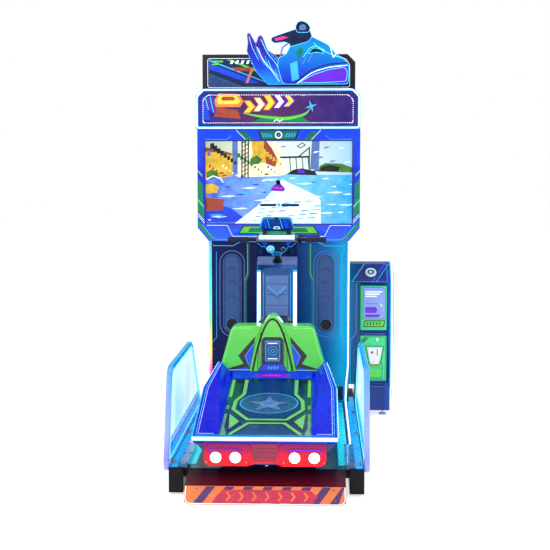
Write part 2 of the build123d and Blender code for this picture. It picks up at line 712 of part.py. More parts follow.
def topper():
    """Light box on the roof, and the cut-out that stands in front of it."""
    w, c = TOPPER_WIDTH / 2, 50.0
    low, top = marquee_top, topper_top
    outline = [(-w, low), (w, low), (w, top - c), (w - c, top), (-w, top)]
    y0 = topper_front
    y1 = y0 + TOPPER_DEPTH
    boards = panel_ring(outline, HOUSING_WALL, "y", y0 + 6.0, y1)
    rear = prism(inset(outline, HOUSING_WALL), "y", y1 - HOUSING_WALL, y1)
    save("topper_box", boards, rear, prism(outline, "y", y0, y0 + 6.0))
    y2 = y0 - CRAFT_STANDOFF
    craft = prism(craft_outline(), "y", y2 - CRAFT_THICK, y2)
    stays = []
    for x in (-STAY_SPACING / 2, STAY_SPACING / 2):
        stays.append(rod((CRAFT_OFFSET + x, y2, marquee_top + 130.0), (0, 1, 0), STAY_RADIUS, CRAFT_STANDOFF))
    save("topper_craft", craft, stays)


# ---- payment column ----
def coin_box():
    """Narrow steel column with a sloping top, on a smaller plinth."""
    x0, x1 = coin_left, coin_right
    y0, y1 = coin_front, back
    low, mid, top = COIN_BODY_BOTTOM, COIN_FRONT_TOP, COIN_TOP
    slope = (top - mid) * 1.05
    side = [(y0, low), (y1, low), (y1, top), (y0 + slope, top), (y0, mid)]
    wall = COIN_WALL
    pieces = [prism(side, "x", x0, x0 + wall), prism(side, "x", x1 - wall, x1)]
    inner0, inner1 = x0 + wall, x1 - wall
    pieces.append(block(inner0, inner1, y1 - wall, y1, low, top))
    floor = block(inner0, inner1, y0, y1 - wall, low, low + wall)
    pieces.append(floor)
    door_y = y0 + DOOR_THICK
    left, right = coin_door_left - DOOR_GAP, coin_door_right + DOOR_GAP
    bars = [
        (COIN_DOOR_LOW - DOOR_GAP - wall, COIN_DOOR_LOW - DOOR_GAP),
        (COIN_DOOR_HIGH + DOOR_GAP, COIN_DOOR_HIGH + DOOR_GAP + wall),
        (PAY_DOOR_LOW - DOOR_GAP - wall, PAY_DOOR_LOW - DOOR_GAP),
        (PAY_DOOR_HIGH + DOOR_GAP, PAY_DOOR_HIGH + DOOR_GAP + wall),
    ]
    for z0, z1 in bars:
        bar = block(left, right, y0, door_y, z0, z1)
        bar -= rod((coin_hinge_x, y0 + DOOR_THICK / 2, z0), (0, 0, 1), HINGE_PIN_RADIUS, z1 - z0)
        pieces.append(bar)
    fillers = [
        (low + wall, bars[0][0]),
        (bars[1][1], bars[2][0]),
        (bars[3][1], mid),
    ]
    for z0, z1 in fillers:
        pieces.append(block(left, right, y0, door_y, z0, z1))
    pieces.append(block(inner0, left, y0, door_y, low + wall, mid))
    pieces.append(block(right, inner1, y0, door_y, low + wall, mid))
    lid_front = [(y0, mid), (y0 + 17.0, mid), (y0 + slope, top - wall * 1.45), (y0 + slope, top)]
    pieces.append(prism(lid_front, "x", inner0, inner1))
    pieces.append(block(inner0, inner1, y0 + slope, y1 - wall, top - wall, top))
    p0, p1 = rail_out + COIN_PLINTH_GAP, x1 - COIN_PLINTH_INSET
    q0, q1 = y0 + COIN_PLINTH_INSET, y1
    ring = [(p0, q0), (p1, q0), (p1, q1), (p0, q1)]
    pieces.extend(panel_ring(ring, wall, "z", COIN_PLINTH_BOTTOM, low))
    base = block(p0 + wall, p1 - wall, q0 + wall, q1 - wall, COIN_PLINTH_BOTTOM, plinth_seat)
    base -= foot_hole(*plinth_foot, plinth_seat, COIN_WALL)
    pieces.append(base)
    save("coin_box", pieces)
    tilt = Plane(
        origin=((x0 + x1) / 2, y0 + slope / 2, (mid + top) / 2),
        x_dir=(1, 0, 0),
        z_dir=(0, mid - top, slope),
    )
    reader = Cylinder(READER_RADIUS, 9.0, align=(Align.CENTER, Align.CENTER, Align.MIN))
    save("card_reader", tilt.location * reader)


flap_x = (coin_door_left + coin_door_right) / 2 + 10.0
flap_gap = 1.0
flap_pivot = (coin_front + FLAP_THICK / 2 + 1.0, FLAP_BOTTOM + FLAP_HEIGHT - FLAP_THICK)


def coin_door():
    """Lower door with its coin mechanism, reject button, return cup and flap."""
    x0, x1 = coin_door_left, coin_door_right
    door = pivot_door(x0, x1, coin_front, COIN_DOOR_LOW, COIN_DOOR_HIGH)
    half = FLAP_WIDTH / 2
    y0, y1 = coin_front, coin_front + DOOR_THICK
    low, high = FLAP_BOTTOM, FLAP_BOTTOM + FLAP_HEIGHT
    door -= block(flap_x - half - flap_gap, flap_x + half + flap_gap, y0, y1, low - flap_gap, high + flap_gap)
    pivot_y, pivot_z = flap_pivot
    pin_length = FLAP_WIDTH + 2 * flap_gap + 12.0
    pin_start = (flap_x - pin_length / 2, pivot_y, pivot_z)
    bore_start = (pin_start[0] - 0.5, pivot_y, pivot_z)
    door -= rod(bore_start, (1, 0, 0), FLAP_PIN_RADIUS + RUNNING_CLEARANCE, pin_length + 1.0)
    save("coin_door", door)
    f0, f1 = pivot_y - FLAP_THICK / 2, pivot_y + FLAP_THICK / 2
    flap = block(flap_x - half, flap_x + half, f0, f1, low, pivot_z)
    flap += rod((flap_x - half, pivot_y, pivot_z), (1, 0, 0), FLAP_PIN_RADIUS + 0.5, FLAP_WIDTH)
    flap += rod(pin_start, (1, 0, 0), FLAP_PIN_RADIUS, pin_length)
    save("coin_return_flap", flap)
    c0, c1 = flap_x - half - flap_gap, flap_x + half + flap_gap
    z0, z1 = low - flap_gap, high + flap_gap
    y2 = y1 + CUP_DEPTH
    w = CUP_WALL
    cup = [
        block(c0 - w, c1 + w, y1, y2, z0 - w, z0),
        block(c0 - w, c1 + w, y1, y2, z1, z1 + w),
        block(c0 - w, c0, y1, y2, z0, z1),
        block(c1, c1 + w, y1, y2, z0, z1),
        block(c0 - w, c1 + w, y2, y2 + w, z0 - w, z1 + w),
    ]
    save("return_cup", cup)
    top, bottom = SLOT_PLATE_TOP, SLOT_PLATE_TOP - SLOT_PLATE_HEIGHT
    wide = SLOT_PLATE_WIDTH / 2
    foot = wide * 0.55
    plate = [(flap_x - foot, bottom), (flap_x + foot, bottom), (flap_x + wide, top), (flap_x - wide, top)]
    mech = prism(plate, "y", y0 - 8.0, y0)
    reject_z = (top + bottom) / 2 + 20.0
    centre = (flap_x - 18.0, y0 - 8.0, reject_z)
    mech -= rod(centre, (0, 1, 0), REJECT_RADIUS + RUNNING_CLEARANCE, 7.0)
    slot = block(flap_x + 16.0, flap_x + 19.5, y0 - 8.0, y0 - 3.0, reject_z - 16.0, reject_z + 16.0)
    save("coin_mech", mech - slot)
    start = (centre[0], y0 - 8.0 - REJECT_TRAVEL - 1.0, reject_z)
    save("reject_button", rod(start, (0, 1, 0), REJECT_RADIUS, REJECT_TRAVEL + 3.0))


def payment_door():
    door = pivot_door(coin_door_left, coin_door_right, coin_front, PAY_DOOR_LOW, PAY_DOOR_HIGH)
    save("payment_door", door)


# ---- scooter ----
def hull_section(y, half_bottom, half_top, low, high):
    return section_wire(y, [(-half_bottom, low), (half_bottom, low), (half_top, high), (-half_top, high)])


def hull():
    """Flared open shell that narrows to the nose, closed by a flat deck with the foot wells on it."""
    bottom, top = HULL_BOTTOM_WIDTH / 2, HULL_WIDTH / 2
    wall = HULL_WALL
    shoulder = nose - NOSE_TAPER
    nose_low = HULL_BOTTOM + NOSE_RISE
    nose_half = NOSE_WIDTH / 2
    outer = Solid.make_loft([
        hull_section(transom, bottom, top, HULL_BOTTOM, HULL_TOP),
        hull_section(shoulder, bottom, top, HULL_BOTTOM, HULL_TOP),
        hull_section(nose, nose_half * 0.6, nose_half, nose_low, HULL_TOP),
    ], True)
    lift = HULL_TOP + 5.0
    inner = Solid.make_loft([
        hull_section(transom + wall, bottom - wall, top - wall, HULL_BOTTOM + wall, lift),
        hull_section(shoulder, bottom - wall, top - wall, HULL_BOTTOM + wall, lift),
        hull_section(nose - wall, nose_half * 0.6 - wall, nose_half - wall, nose_low + wall, lift),
    ], True)
    save("hull", outer - inner)
    right = [(top, transom), (top, shoulder), (nose_half, nose)]
    plan = right + [(-x, y) for x, y in reversed(right)]
    save("hull_deck", prism(plan, "z", HULL_TOP, hull_deck_top))


def deck_profile(y, half, flange_z, flange_half, panel_z):
    """Section of the right-hand deck moulding: outer side, flange, and inner wall down to the panel."""
    edge, wall = PANEL_WIDTH / 2, DECK_WALL
    points = [
        (half, hull_deck_top),
        (half, flange_z),
        (flange_half, flange_z),
        (edge, panel_z),
        (edge, panel_z - wall),
        (flange_half, flange_z - wall),
        (half - wall, flange_z - wall),
        (half - wall, hull_deck_top),
    ]
    return section_wire(y, points)


def deck_height(run):
    """Height of the flange, by distance from the stern."""
    return DECK_LOW + (DECK_HIGH - DECK_LOW) * run / DECK_LENGTH


def panel_height(run):
    """Height of the sunken panel, by distance from the stern."""
    return DECK_LOW + PANEL_RISE * run / PANEL_LENGTH


def deck_half(run):
    """Half width over the deck, by distance from the stern."""
    if run <= DECK_NARROW_FROM:
        return HULL_WIDTH / 2
    share = (run - DECK_NARROW_FROM) / (DECK_LENGTH - DECK_NARROW_FROM)
    return HULL_WIDTH / 2 + (DECK_FRONT_WIDTH - HULL_WIDTH) / 2 * share


deck_stations = (0.0, DECK_NARROW_FROM, PANEL_LENGTH, DECK_LENGTH)


def deck():
    """Sloping aft deck: a flanged moulding on each side, a sunken panel and two end pieces."""
    sections = []
    for run in deck_stations:
        share = run / DECK_LENGTH
        edge = PANEL_WIDTH / 2
        flange = edge + 2.0 + (DECK_FRONT_WIDTH / 2 - DECK_WALL - 4.0 - edge) * share
        heights = deck_height(run), panel_height(run)
        sections.append(deck_profile(stern + run, deck_half(run), heights[0], flange, heights[1]))
    side = Solid.make_loft(sections, True)
    edge, wall = PANEL_WIDTH / 2, DECK_WALL
    inner = HULL_WIDTH / 2 - wall
    fascia = block(-inner, inner, stern, stern + wall, hull_deck_top, DECK_LOW - wall)
    y0, y1 = stern + PANEL_LENGTH, stern + DECK_LENGTH
    low, high = panel_height(PANEL_LENGTH), COWL_FOOT
    ridge = [(y0, low - wall), (y1, high - wall), (y1, high), (y0, low)]
    save("deck_moulding", both_sides(side), fascia, prism(ridge, "x", -edge, edge))
    slab = [(stern, DECK_LOW - wall), (y0, low - wall), (y0, low), (stern, DECK_LOW)]
    save("deck_panel", prism(slab, "x", -edge, edge))


def deck_strips():
    """White light strips across the stern and along both edges of the deck."""
    thick = 7.0
    runs = [0.0, DECK_NARROW_FROM, DECK_LENGTH]
    strips = []
    for first, second in zip(runs, runs[1:]):
        wires = []
        for run in (first, second):
            x, z = deck_half(run), deck_height(run)
            points = [(x, z - 22.0), (x + thick, z - 22.0), (x + thick, z), (x, z)]
            wires.append(section_wire(stern + run, points))
        strips.extend(both_sides(Solid.make_loft(wires, True)))
    half = HULL_WIDTH / 2 + thick
    rear = block(-half, half, stern - 12.0, stern, DECK_LOW - 24.0, DECK_LOW)
    return [*strips, rear]


def tail():
    """Moulded tail-light housing under the stern, with four round lenses."""
    half, recess = TAIL_WIDTH / 2, TAIL_RECESS / 2
    y0, y1 = transom - TAIL_DEPTH, transom
    notch = TAIL_LOW + TAIL_NOTCH
    right = [
        (recess, notch),
        (recess + TAIL_NOTCH, TAIL_LOW),
        (half - TAIL_CORNER, TAIL_LOW),
        (half, TAIL_LOW + TAIL_CORNER),
        (half, TAIL_HIGH),
    ]
    outline = right + [(-x, z) for x, z in reversed(right)]
    housing = prism(outline, "y", y0, y1)
    lenses = []
    first = LENS_INNER_SPACING / 2
    for side in (-1, 1):
        for x in (side * first, side * (first + LENS_PAIR_SPACING)):
            housing -= rod((x, y0, LENS_HEIGHT), (0, 1, 0), LENS_RADIUS, 8.0)
            lenses.append(rod((x, y0 - LENS_PROUD, LENS_HEIGHT), (0, 1, 0), LENS_RADIUS, 8.0 + LENS_PROUD))
    save("tail_housing", housing)
    save("tail_lenses", lenses)


def arch_section(grow):
    """Parabolic outline of the seat's rear arch, standing on the cowl's foot."""
    half = ARCH_WIDTH / 2 + grow
    peak = 2 * (ARCH_TOP + grow) - COWL_FOOT
    curve = Bezier((-half, COWL_FOOT), (0, peak), (half, COWL_FOOT))
    base = Line((half, COWL_FOOT), (-half, COWL_FOOT))
    return make_face(Plane.XZ * Wire([curve, base]))


def along_y(face, y0, y1):
    return Pos(0, y0, 0) * extrude(face, amount=y1 - y0, dir=(0, 1, 0))


def seat():
    """Cowl with two wings and a central arch, the saddle, and the boxes that carry them."""
    foot, top = WING_FOOT_WIDTH / 2, WING_TOP_WIDTH / 2
    outline = [(20.0, COWL_FOOT), (foot, COWL_FOOT), (top, WING_TOP), (20.0, WING_TOP)]
    wing = prism(outline, "y", cowl_rear, cowl_front)
    corner = wing.edges().filter_by(Axis.Y).sort_by(lambda edge: edge.center().X + edge.center().Z)[-1]
    wing = fillet(corner, WING_BEND)
    wing -= along_y(arch_section(SEAM), cowl_rear, cowl_front)
    wing = wing.solids().sort_by(lambda solid: solid.volume)[-1]
    save("cowl_wings", both_sides(wing))
    save("cowl_arch", along_y(arch_section(0.0), cowl_rear - ARCH_PROUD, cowl_front))
    half = DECK_FRONT_WIDTH / 2
    box = [(-half, cowl_rear), (half, cowl_rear), (half, cowl_front), (-half, cowl_front)]
    pieces = panel_ring(box, HULL_WALL, "z", hull_deck_top, COWL_FOOT)
    inner = inset(box, HULL_WALL)
    pieces.append(prism(inner, "z", COWL_FOOT - HULL_WALL, COWL_FOOT))
    w = SADDLE_BASE_WIDTH / 2
    seat_low = SADDLE_TOP - SADDLE_THICK
    pillar = [(-w, cowl_front), (w, cowl_front), (w, saddle_front - 30.0), (-w, saddle_front - 30.0)]
    pieces.extend(panel_ring(pillar, HULL_WALL, "z", hull_deck_top, seat_low))
    pieces.append(prism(inset(pillar, HULL_WALL), "z", seat_low - HULL_WALL, seat_low))
    save("seat_base", pieces)
    side, low = SADDLE_WIDTH / 2, seat_low + SOFT_GAP
    saddle = block(-side, side, cowl_front + SEAM, saddle_front, low, SADDLE_TOP)
    saddle = fillet(saddle.edges().filter_by(Axis.Y).group_by(Axis.Z)[-1], SADDLE_BEND)
    save("saddle", saddle)


# Side view of the steering column, anticlockwise from the rear foot.
rake = radians(RAKE)
head_rear = (nose - COLUMN_HEAD_SETBACK, COLUMN_HEAD_HEIGHT)
head_front = (head_rear[0] + COLUMN_HEAD_DEPTH * cos(rake), head_rear[1] + COLUMN_HEAD_DEPTH * sin(rake))
pivot = ((head_rear[0] + head_front[0]) / 2, (head_rear[1] + head_front[1]) / 2)
steer = Plane(origin=(0, pivot[0], pivot[1]), x_dir=(1, 0, 0), z_dir=(0, -sin(rake), cos(rake)))
column_outline = [
    (nose - COLUMN_FOOT_SETBACK, hull_deck_top),
    (nose - 20.0, hull_deck_top),
    (nose - 40.0, COLUMN_SHOULDER),
    head_front,
    head_rear,
]


def column():
    """Steering column: a box of boards whose top carries the steering bearing."""
    half = COLUMN_WIDTH / 2
    inner = half - COLUMN_WALL
    boards = panel_ring(column_outline, HEAD_WALL, "x", -inner, inner)
    bore = steer.location * Cylinder(STEER_RADIUS + RUNNING_CLEARANCE, 200.0)
    boards = [board - bore for board in boards]
    sides = both_sides(prism(column_outline, "x", inner, half))
    save("front_column", boards, sides)
    rear_low, rear_high = column_outline[0], column_outline[4]
    lean = (rear_high[0] - rear_low[0]) / (rear_high[1] - rear_low[1])
    z0, z1 = hull_deck_top + 60.0, COLUMN_HEAD_HEIGHT - 30.0
    y0 = rear_low[0] + lean * (z0 - rear_low[1])
    y1 = rear_low[0] + lean * (z1 - rear_low[1])
    strip = [(y0 - 10.0, z0), (y0, z0), (y1, z1), (y1 - 10.0, z1)]
    save("scooter_lights", deck_strips(), both_sides(prism(strip, "x", half - 26.0, half)))


def roll_bearing():
    """Blocks on the floor, the shaft that turns in them, and the rubber stops beside it."""
    bore = rod((0, transom, ROLL_HEIGHT), (0, 1, 0), SHAFT_RADIUS + RUNNING_CLEARANCE, nose - transom)
    blocks = []
    half, long = BEARING_WIDTH / 2, BEARING_LENGTH / 2
    for y in (rear_bearing, front_bearing):
        blocks.append(block(-half, half, y - long, y + long, FLOOR_TOP, BEARING_TOP) - bore)
    save("bearing_blocks", blocks)
    reach = long + CLAMP_LENGTH + 20.0
    start, end = rear_bearing - reach, front_bearing + reach
    shaft = rod((0, start, ROLL_HEIGHT), (0, 1, 0), SHAFT_RADIUS, end - start)
    clamps = []
    half = CLAMP_WIDTH / 2
    seat = rod((0, start, ROLL_HEIGHT), (0, 1, 0), SHAFT_RADIUS, end - start)
    low = ROLL_HEIGHT - SHAFT_RADIUS - CLAMP_WALL
    for y in (rear_bearing + long + CLAMP_GAP, front_bearing - long - CLAMP_GAP - CLAMP_LENGTH):
        clamps.append(block(-half, half, y, y + CLAMP_LENGTH, low, HULL_BOTTOM) - seat)
    save("roll_shaft", shaft, clamps)
    tilt = radians(ROLL_LIMIT)
    side = BUMP_SPACING / 2 + BUMP_RADIUS
    drop = (HULL_BOTTOM - ROLL_HEIGHT) * cos(tilt) - side * sin(tilt)
    top = ROLL_HEIGHT + drop - BUMP_CLEARANCE
    stops = []
    for y in (rear_bearing + 120.0, front_bearing - 400.0):
        for side in (-1, 1):
            foot = (side * BUMP_SPACING / 2, y, FLOOR_TOP)
            stops.append(rod(foot, (0, 0, 1), BUMP_RADIUS, top - FLOOR_TOP))
    save("bump_stops", stops)


# ---- steering, built in a frame whose Z runs up the stem ----
def steering_stem():
    return rod((0, 0, -STEM_REACH), (0, 0, 1), STEER_RADIUS, STEM_REACH + BAR_HEIGHT)


def steering_bar():
    return rod((-BAR_LENGTH / 2, 0, BAR_HEIGHT), (1, 0, 0), BAR_RADIUS, BAR_LENGTH)


def handlebar():
    """Grips, pod, light bar and windshield around the handlebar."""
    place = steer.location
    stem, bar = steering_stem(), steering_bar()
    grips = []
    for side in (-1, 1):
        end = BAR_LENGTH / 2 + 6.0
        start = (end - GRIP_LENGTH) if side > 0 else -end
        grip = rod((start, 0, BAR_HEIGHT), (1, 0, 0), GRIP_RADIUS, GRIP_LENGTH)
        grips.append(place * (grip - bar))
    save("grips", grips)
    half = POD_WIDTH / 2
    side_view = [
        (POD_REAR + 10.0, POD_LOW), (POD_FRONT - 8.0, POD_LOW), (POD_FRONT, POD_HIGH - 20.0),
        (POD_FRONT - 20.0, POD_HIGH), (POD_REAR, POD_HIGH),
    ]
    pod = prism(side_view, "x", -half, half)
    pod -= stem + bar
    pod -= button_bore()
    dash_half = DASH_WIDTH / 2
    dash = block(-dash_half, dash_half, -6.0, 10.0, POD_HIGH, POD_HIGH + DASH_HEIGHT)
    for x in (-dash_half - 8.0, dash_half + 8.0):
        dash += block(x - 8.0, x + 8.0, -8.0, 10.0, POD_HIGH, POD_HIGH + DASH_HEIGHT)
    save("control_pod", place * (pod + dash))
    light_half = POD_LIGHT_WIDTH / 2
    save("pod_light", place * block(-light_half, light_half, -40.0, -22.0, POD_HIGH, POD_HIGH + 26.0))
    z0 = POD_HIGH + DASH_HEIGHT
    foot, top = SHIELD_FOOT_WIDTH / 2, SHIELD_TOP_WIDTH / 2
    outline = [(-foot, z0), (foot, z0), (top, z0 + SHIELD_HEIGHT), (-top, z0 + SHIELD_HEIGHT)]
    shield = prism(outline, "y", -1.0, -1.0 + SHIELD_THICK)
    corners = shield.edges().filter_by(Axis.Y).group_by(Axis.Z)[-1]
    save("windshield", place * fillet(corners, SHIELD_BEND))


button_place = (-38.0, POD_REAR + 5.0, 118.0)


def button_bore():
    x, y, z = button_place
    depth = y + BUTTON_LENGTH - BUTTON_PROUD + BUTTON_TRAVEL + 2.0
    return rod((x, POD_REAR - 20.0, z), (0, 1, 0), BUTTON_RADIUS + RUNNING_CLEARANCE, depth - POD_REAR + 20.0)


def controls():
    """Throttle lever on its perch beside the right grip, and the start button on the pod."""
    place = steer.location
    x = POD_WIDTH / 2 + 16.0
    y = BAR_RADIUS + LEVER_REACH
    z = BAR_HEIGHT
    perch = block(x - 12.0, x + 12.0, -BAR_RADIUS - 5.0, y + 12.0, z - 14.0, z - 6.2)
    cheek = block(x - 12.0, x + 12.0, -BAR_RADIUS - 5.0, BAR_RADIUS + 4.0, z - 6.2, z + 14.0)
    pin = rod((x, y, z - 6.2), (0, 0, 1), LEVER_PIN_RADIUS, LEVER_THICK + 2.0)
    bar, stem = steering_bar(), steering_stem()
    collar = rod((0, 0, 0.3), (0, 0, 1), COLLAR_RADIUS, COLLAR_THICK)
    save("handlebar", place * (stem + collar + bar), place * (perch + cheek - bar + pin))
    lever = block(x, x + LEVER_LENGTH, y - 5.0, y + 5.0, z - 6.0, z + 6.0)
    lever += rod((x, y, z - 6.0), (0, 0, 1), 9.0, LEVER_THICK)
    lever += rod((x + LEVER_LENGTH, y, z - 6.0), (0, 0, 1), 7.0, LEVER_THICK)
    lever -= rod((x, y, z - 6.0), (0, 0, 1), LEVER_PIN_RADIUS + RUNNING_CLEARANCE, LEVER_THICK)
    save("throttle_lever", place * lever)
    bx, by, bz = button_place
    button = rod((bx, by - BUTTON_PROUD, bz), (0, 1, 0), BUTTON_RADIUS, BUTTON_LENGTH)
    save("start_button", place * button)


os.makedirs("parts", exist_ok=True)
base_frame()
rail_end_caps()
leveling_feet()
base_deck()
guards()
guard_brackets()
edge_lights()
lower_cabinet()
rear_door()
hinge_pins()
exhaust_fan()
electronics()
front_details()
screen_housing()
marquee()
topper()
coin_box()
coin_door()
payment_door()
hull()
deck()
tail()
seat()
column()
roll_bearing()
handlebar()
controls()
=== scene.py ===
from math import cos, pi, radians, sin

import bmesh
import bpy
from mathutils import Matrix, Vector


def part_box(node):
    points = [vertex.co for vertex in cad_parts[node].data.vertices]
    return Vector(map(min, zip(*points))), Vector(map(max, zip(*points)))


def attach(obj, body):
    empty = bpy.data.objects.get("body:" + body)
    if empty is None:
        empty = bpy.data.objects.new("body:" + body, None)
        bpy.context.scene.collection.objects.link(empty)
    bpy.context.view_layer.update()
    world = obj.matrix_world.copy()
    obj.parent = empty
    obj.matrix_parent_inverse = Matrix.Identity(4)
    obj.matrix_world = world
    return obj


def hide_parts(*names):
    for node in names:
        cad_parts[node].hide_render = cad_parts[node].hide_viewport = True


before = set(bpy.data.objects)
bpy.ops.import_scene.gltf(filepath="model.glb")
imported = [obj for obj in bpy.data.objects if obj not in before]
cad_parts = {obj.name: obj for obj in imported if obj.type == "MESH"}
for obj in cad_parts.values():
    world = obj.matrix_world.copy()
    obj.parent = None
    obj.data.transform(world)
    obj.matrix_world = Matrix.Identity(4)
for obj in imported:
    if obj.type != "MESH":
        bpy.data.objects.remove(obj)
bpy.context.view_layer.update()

# Looks of the ride-on water-scooter cabinet. Lengths in the calls below are millimetres.

WHOLE = Matrix.Scale(0.001, 4)


# ---- measuring and drawing helpers ----
def span(part):
    """Lowest and highest corner of a frame part."""
    low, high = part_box(part)
    return Vector(low) * 1000, Vector(high) * 1000


def facing(origin, across, up):
    """Drawing plane: u runs across, v up and w out of it."""
    across, up = Vector(across).normalized(), Vector(up).normalized()
    turn = Matrix((across, up, across.cross(up))).transposed().to_4x4()
    return Matrix.Translation(Vector(origin) * 0.001) @ turn @ WHOLE


def towards_rider(y):
    """Upright plane that looks back at the rider: u is X, v is Z."""
    return facing((0, y, 0), (1, 0, 0), (0, 0, 1))


def from_behind(y):
    """Upright plane seen from behind: u is minus X, v is Z."""
    return facing((0, y, 0), (-1, 0, 0), (0, 0, 1))


def flank(side, x):
    """Upright plane on the right (1) or left (-1) side: u is Y times the side, v is Z."""
    return facing((side * x, 0, 0), (0, side, 0), (0, 0, 1))


def rounded(points, radius, steps=5, closed=True):
    """The points with each corner eased by a curve that starts at most radius away from it."""
    points = [Vector(p) for p in points]
    count, out = len(points), []
    for i, corner in enumerate(points):
        if not closed and i in (0, count - 1):
            out.append(corner)
            continue
        before, after = points[i - 1] - corner, points[(i + 1) % count] - corner
        reach = min(radius, before.length * 0.48, after.length * 0.48)
        start, end = corner + before.normalized() * reach, corner + after.normalized() * reach
        for k in range(steps + 1):
            t = k / steps
            out.append(start * (1 - t) ** 2 + corner * 2 * t * (1 - t) + end * t * t)
    return out


def oblong(u0, u1, v0, v1, radius=0.0, steps=5):
    """Rectangle, with rounded corners if a radius is given."""
    points = [(u0, v0), (u1, v0), (u1, v1), (u0, v1)]
    return rounded(points, radius, steps) if radius else [Vector(p) for p in points]


def strip(low, u0, u1, high, u2, u3):
    """Straight-sided strip: u0 to u1 at one height, u2 back to u3 at the other."""
    return [(u0, low), (u1, low), (u2, high), (u3, high)]


def stadium(u, v, width, height, steps=12):
    """Upright oblong with half-round ends about a centre."""
    r = width / 2
    rise = height / 2 - r
    arc = [pi * k / steps for k in range(steps + 1)]
    top = [Vector((u + r * cos(a), v + rise + r * sin(a))) for a in arc]
    return top + [Vector((u - r * cos(a), v - rise - r * sin(a))) for a in arc]


def ring(u, v, radius, steps=32):
    """Circle."""
    turns = [2 * pi * k / steps for k in range(steps)]
    return [Vector((u + radius * cos(a), v + radius * sin(a))) for a in turns]


def mirrored(outline):
    """The outline on the other side of the middle."""
    return [Vector((-p[0], p[1])) for p in reversed(outline)]


def outwards(side):
    """Outlines for the right (1) or left (-1) half: their u counts outwards from the middle."""
    return lambda *points: [(side * u, v) for u, v in points]


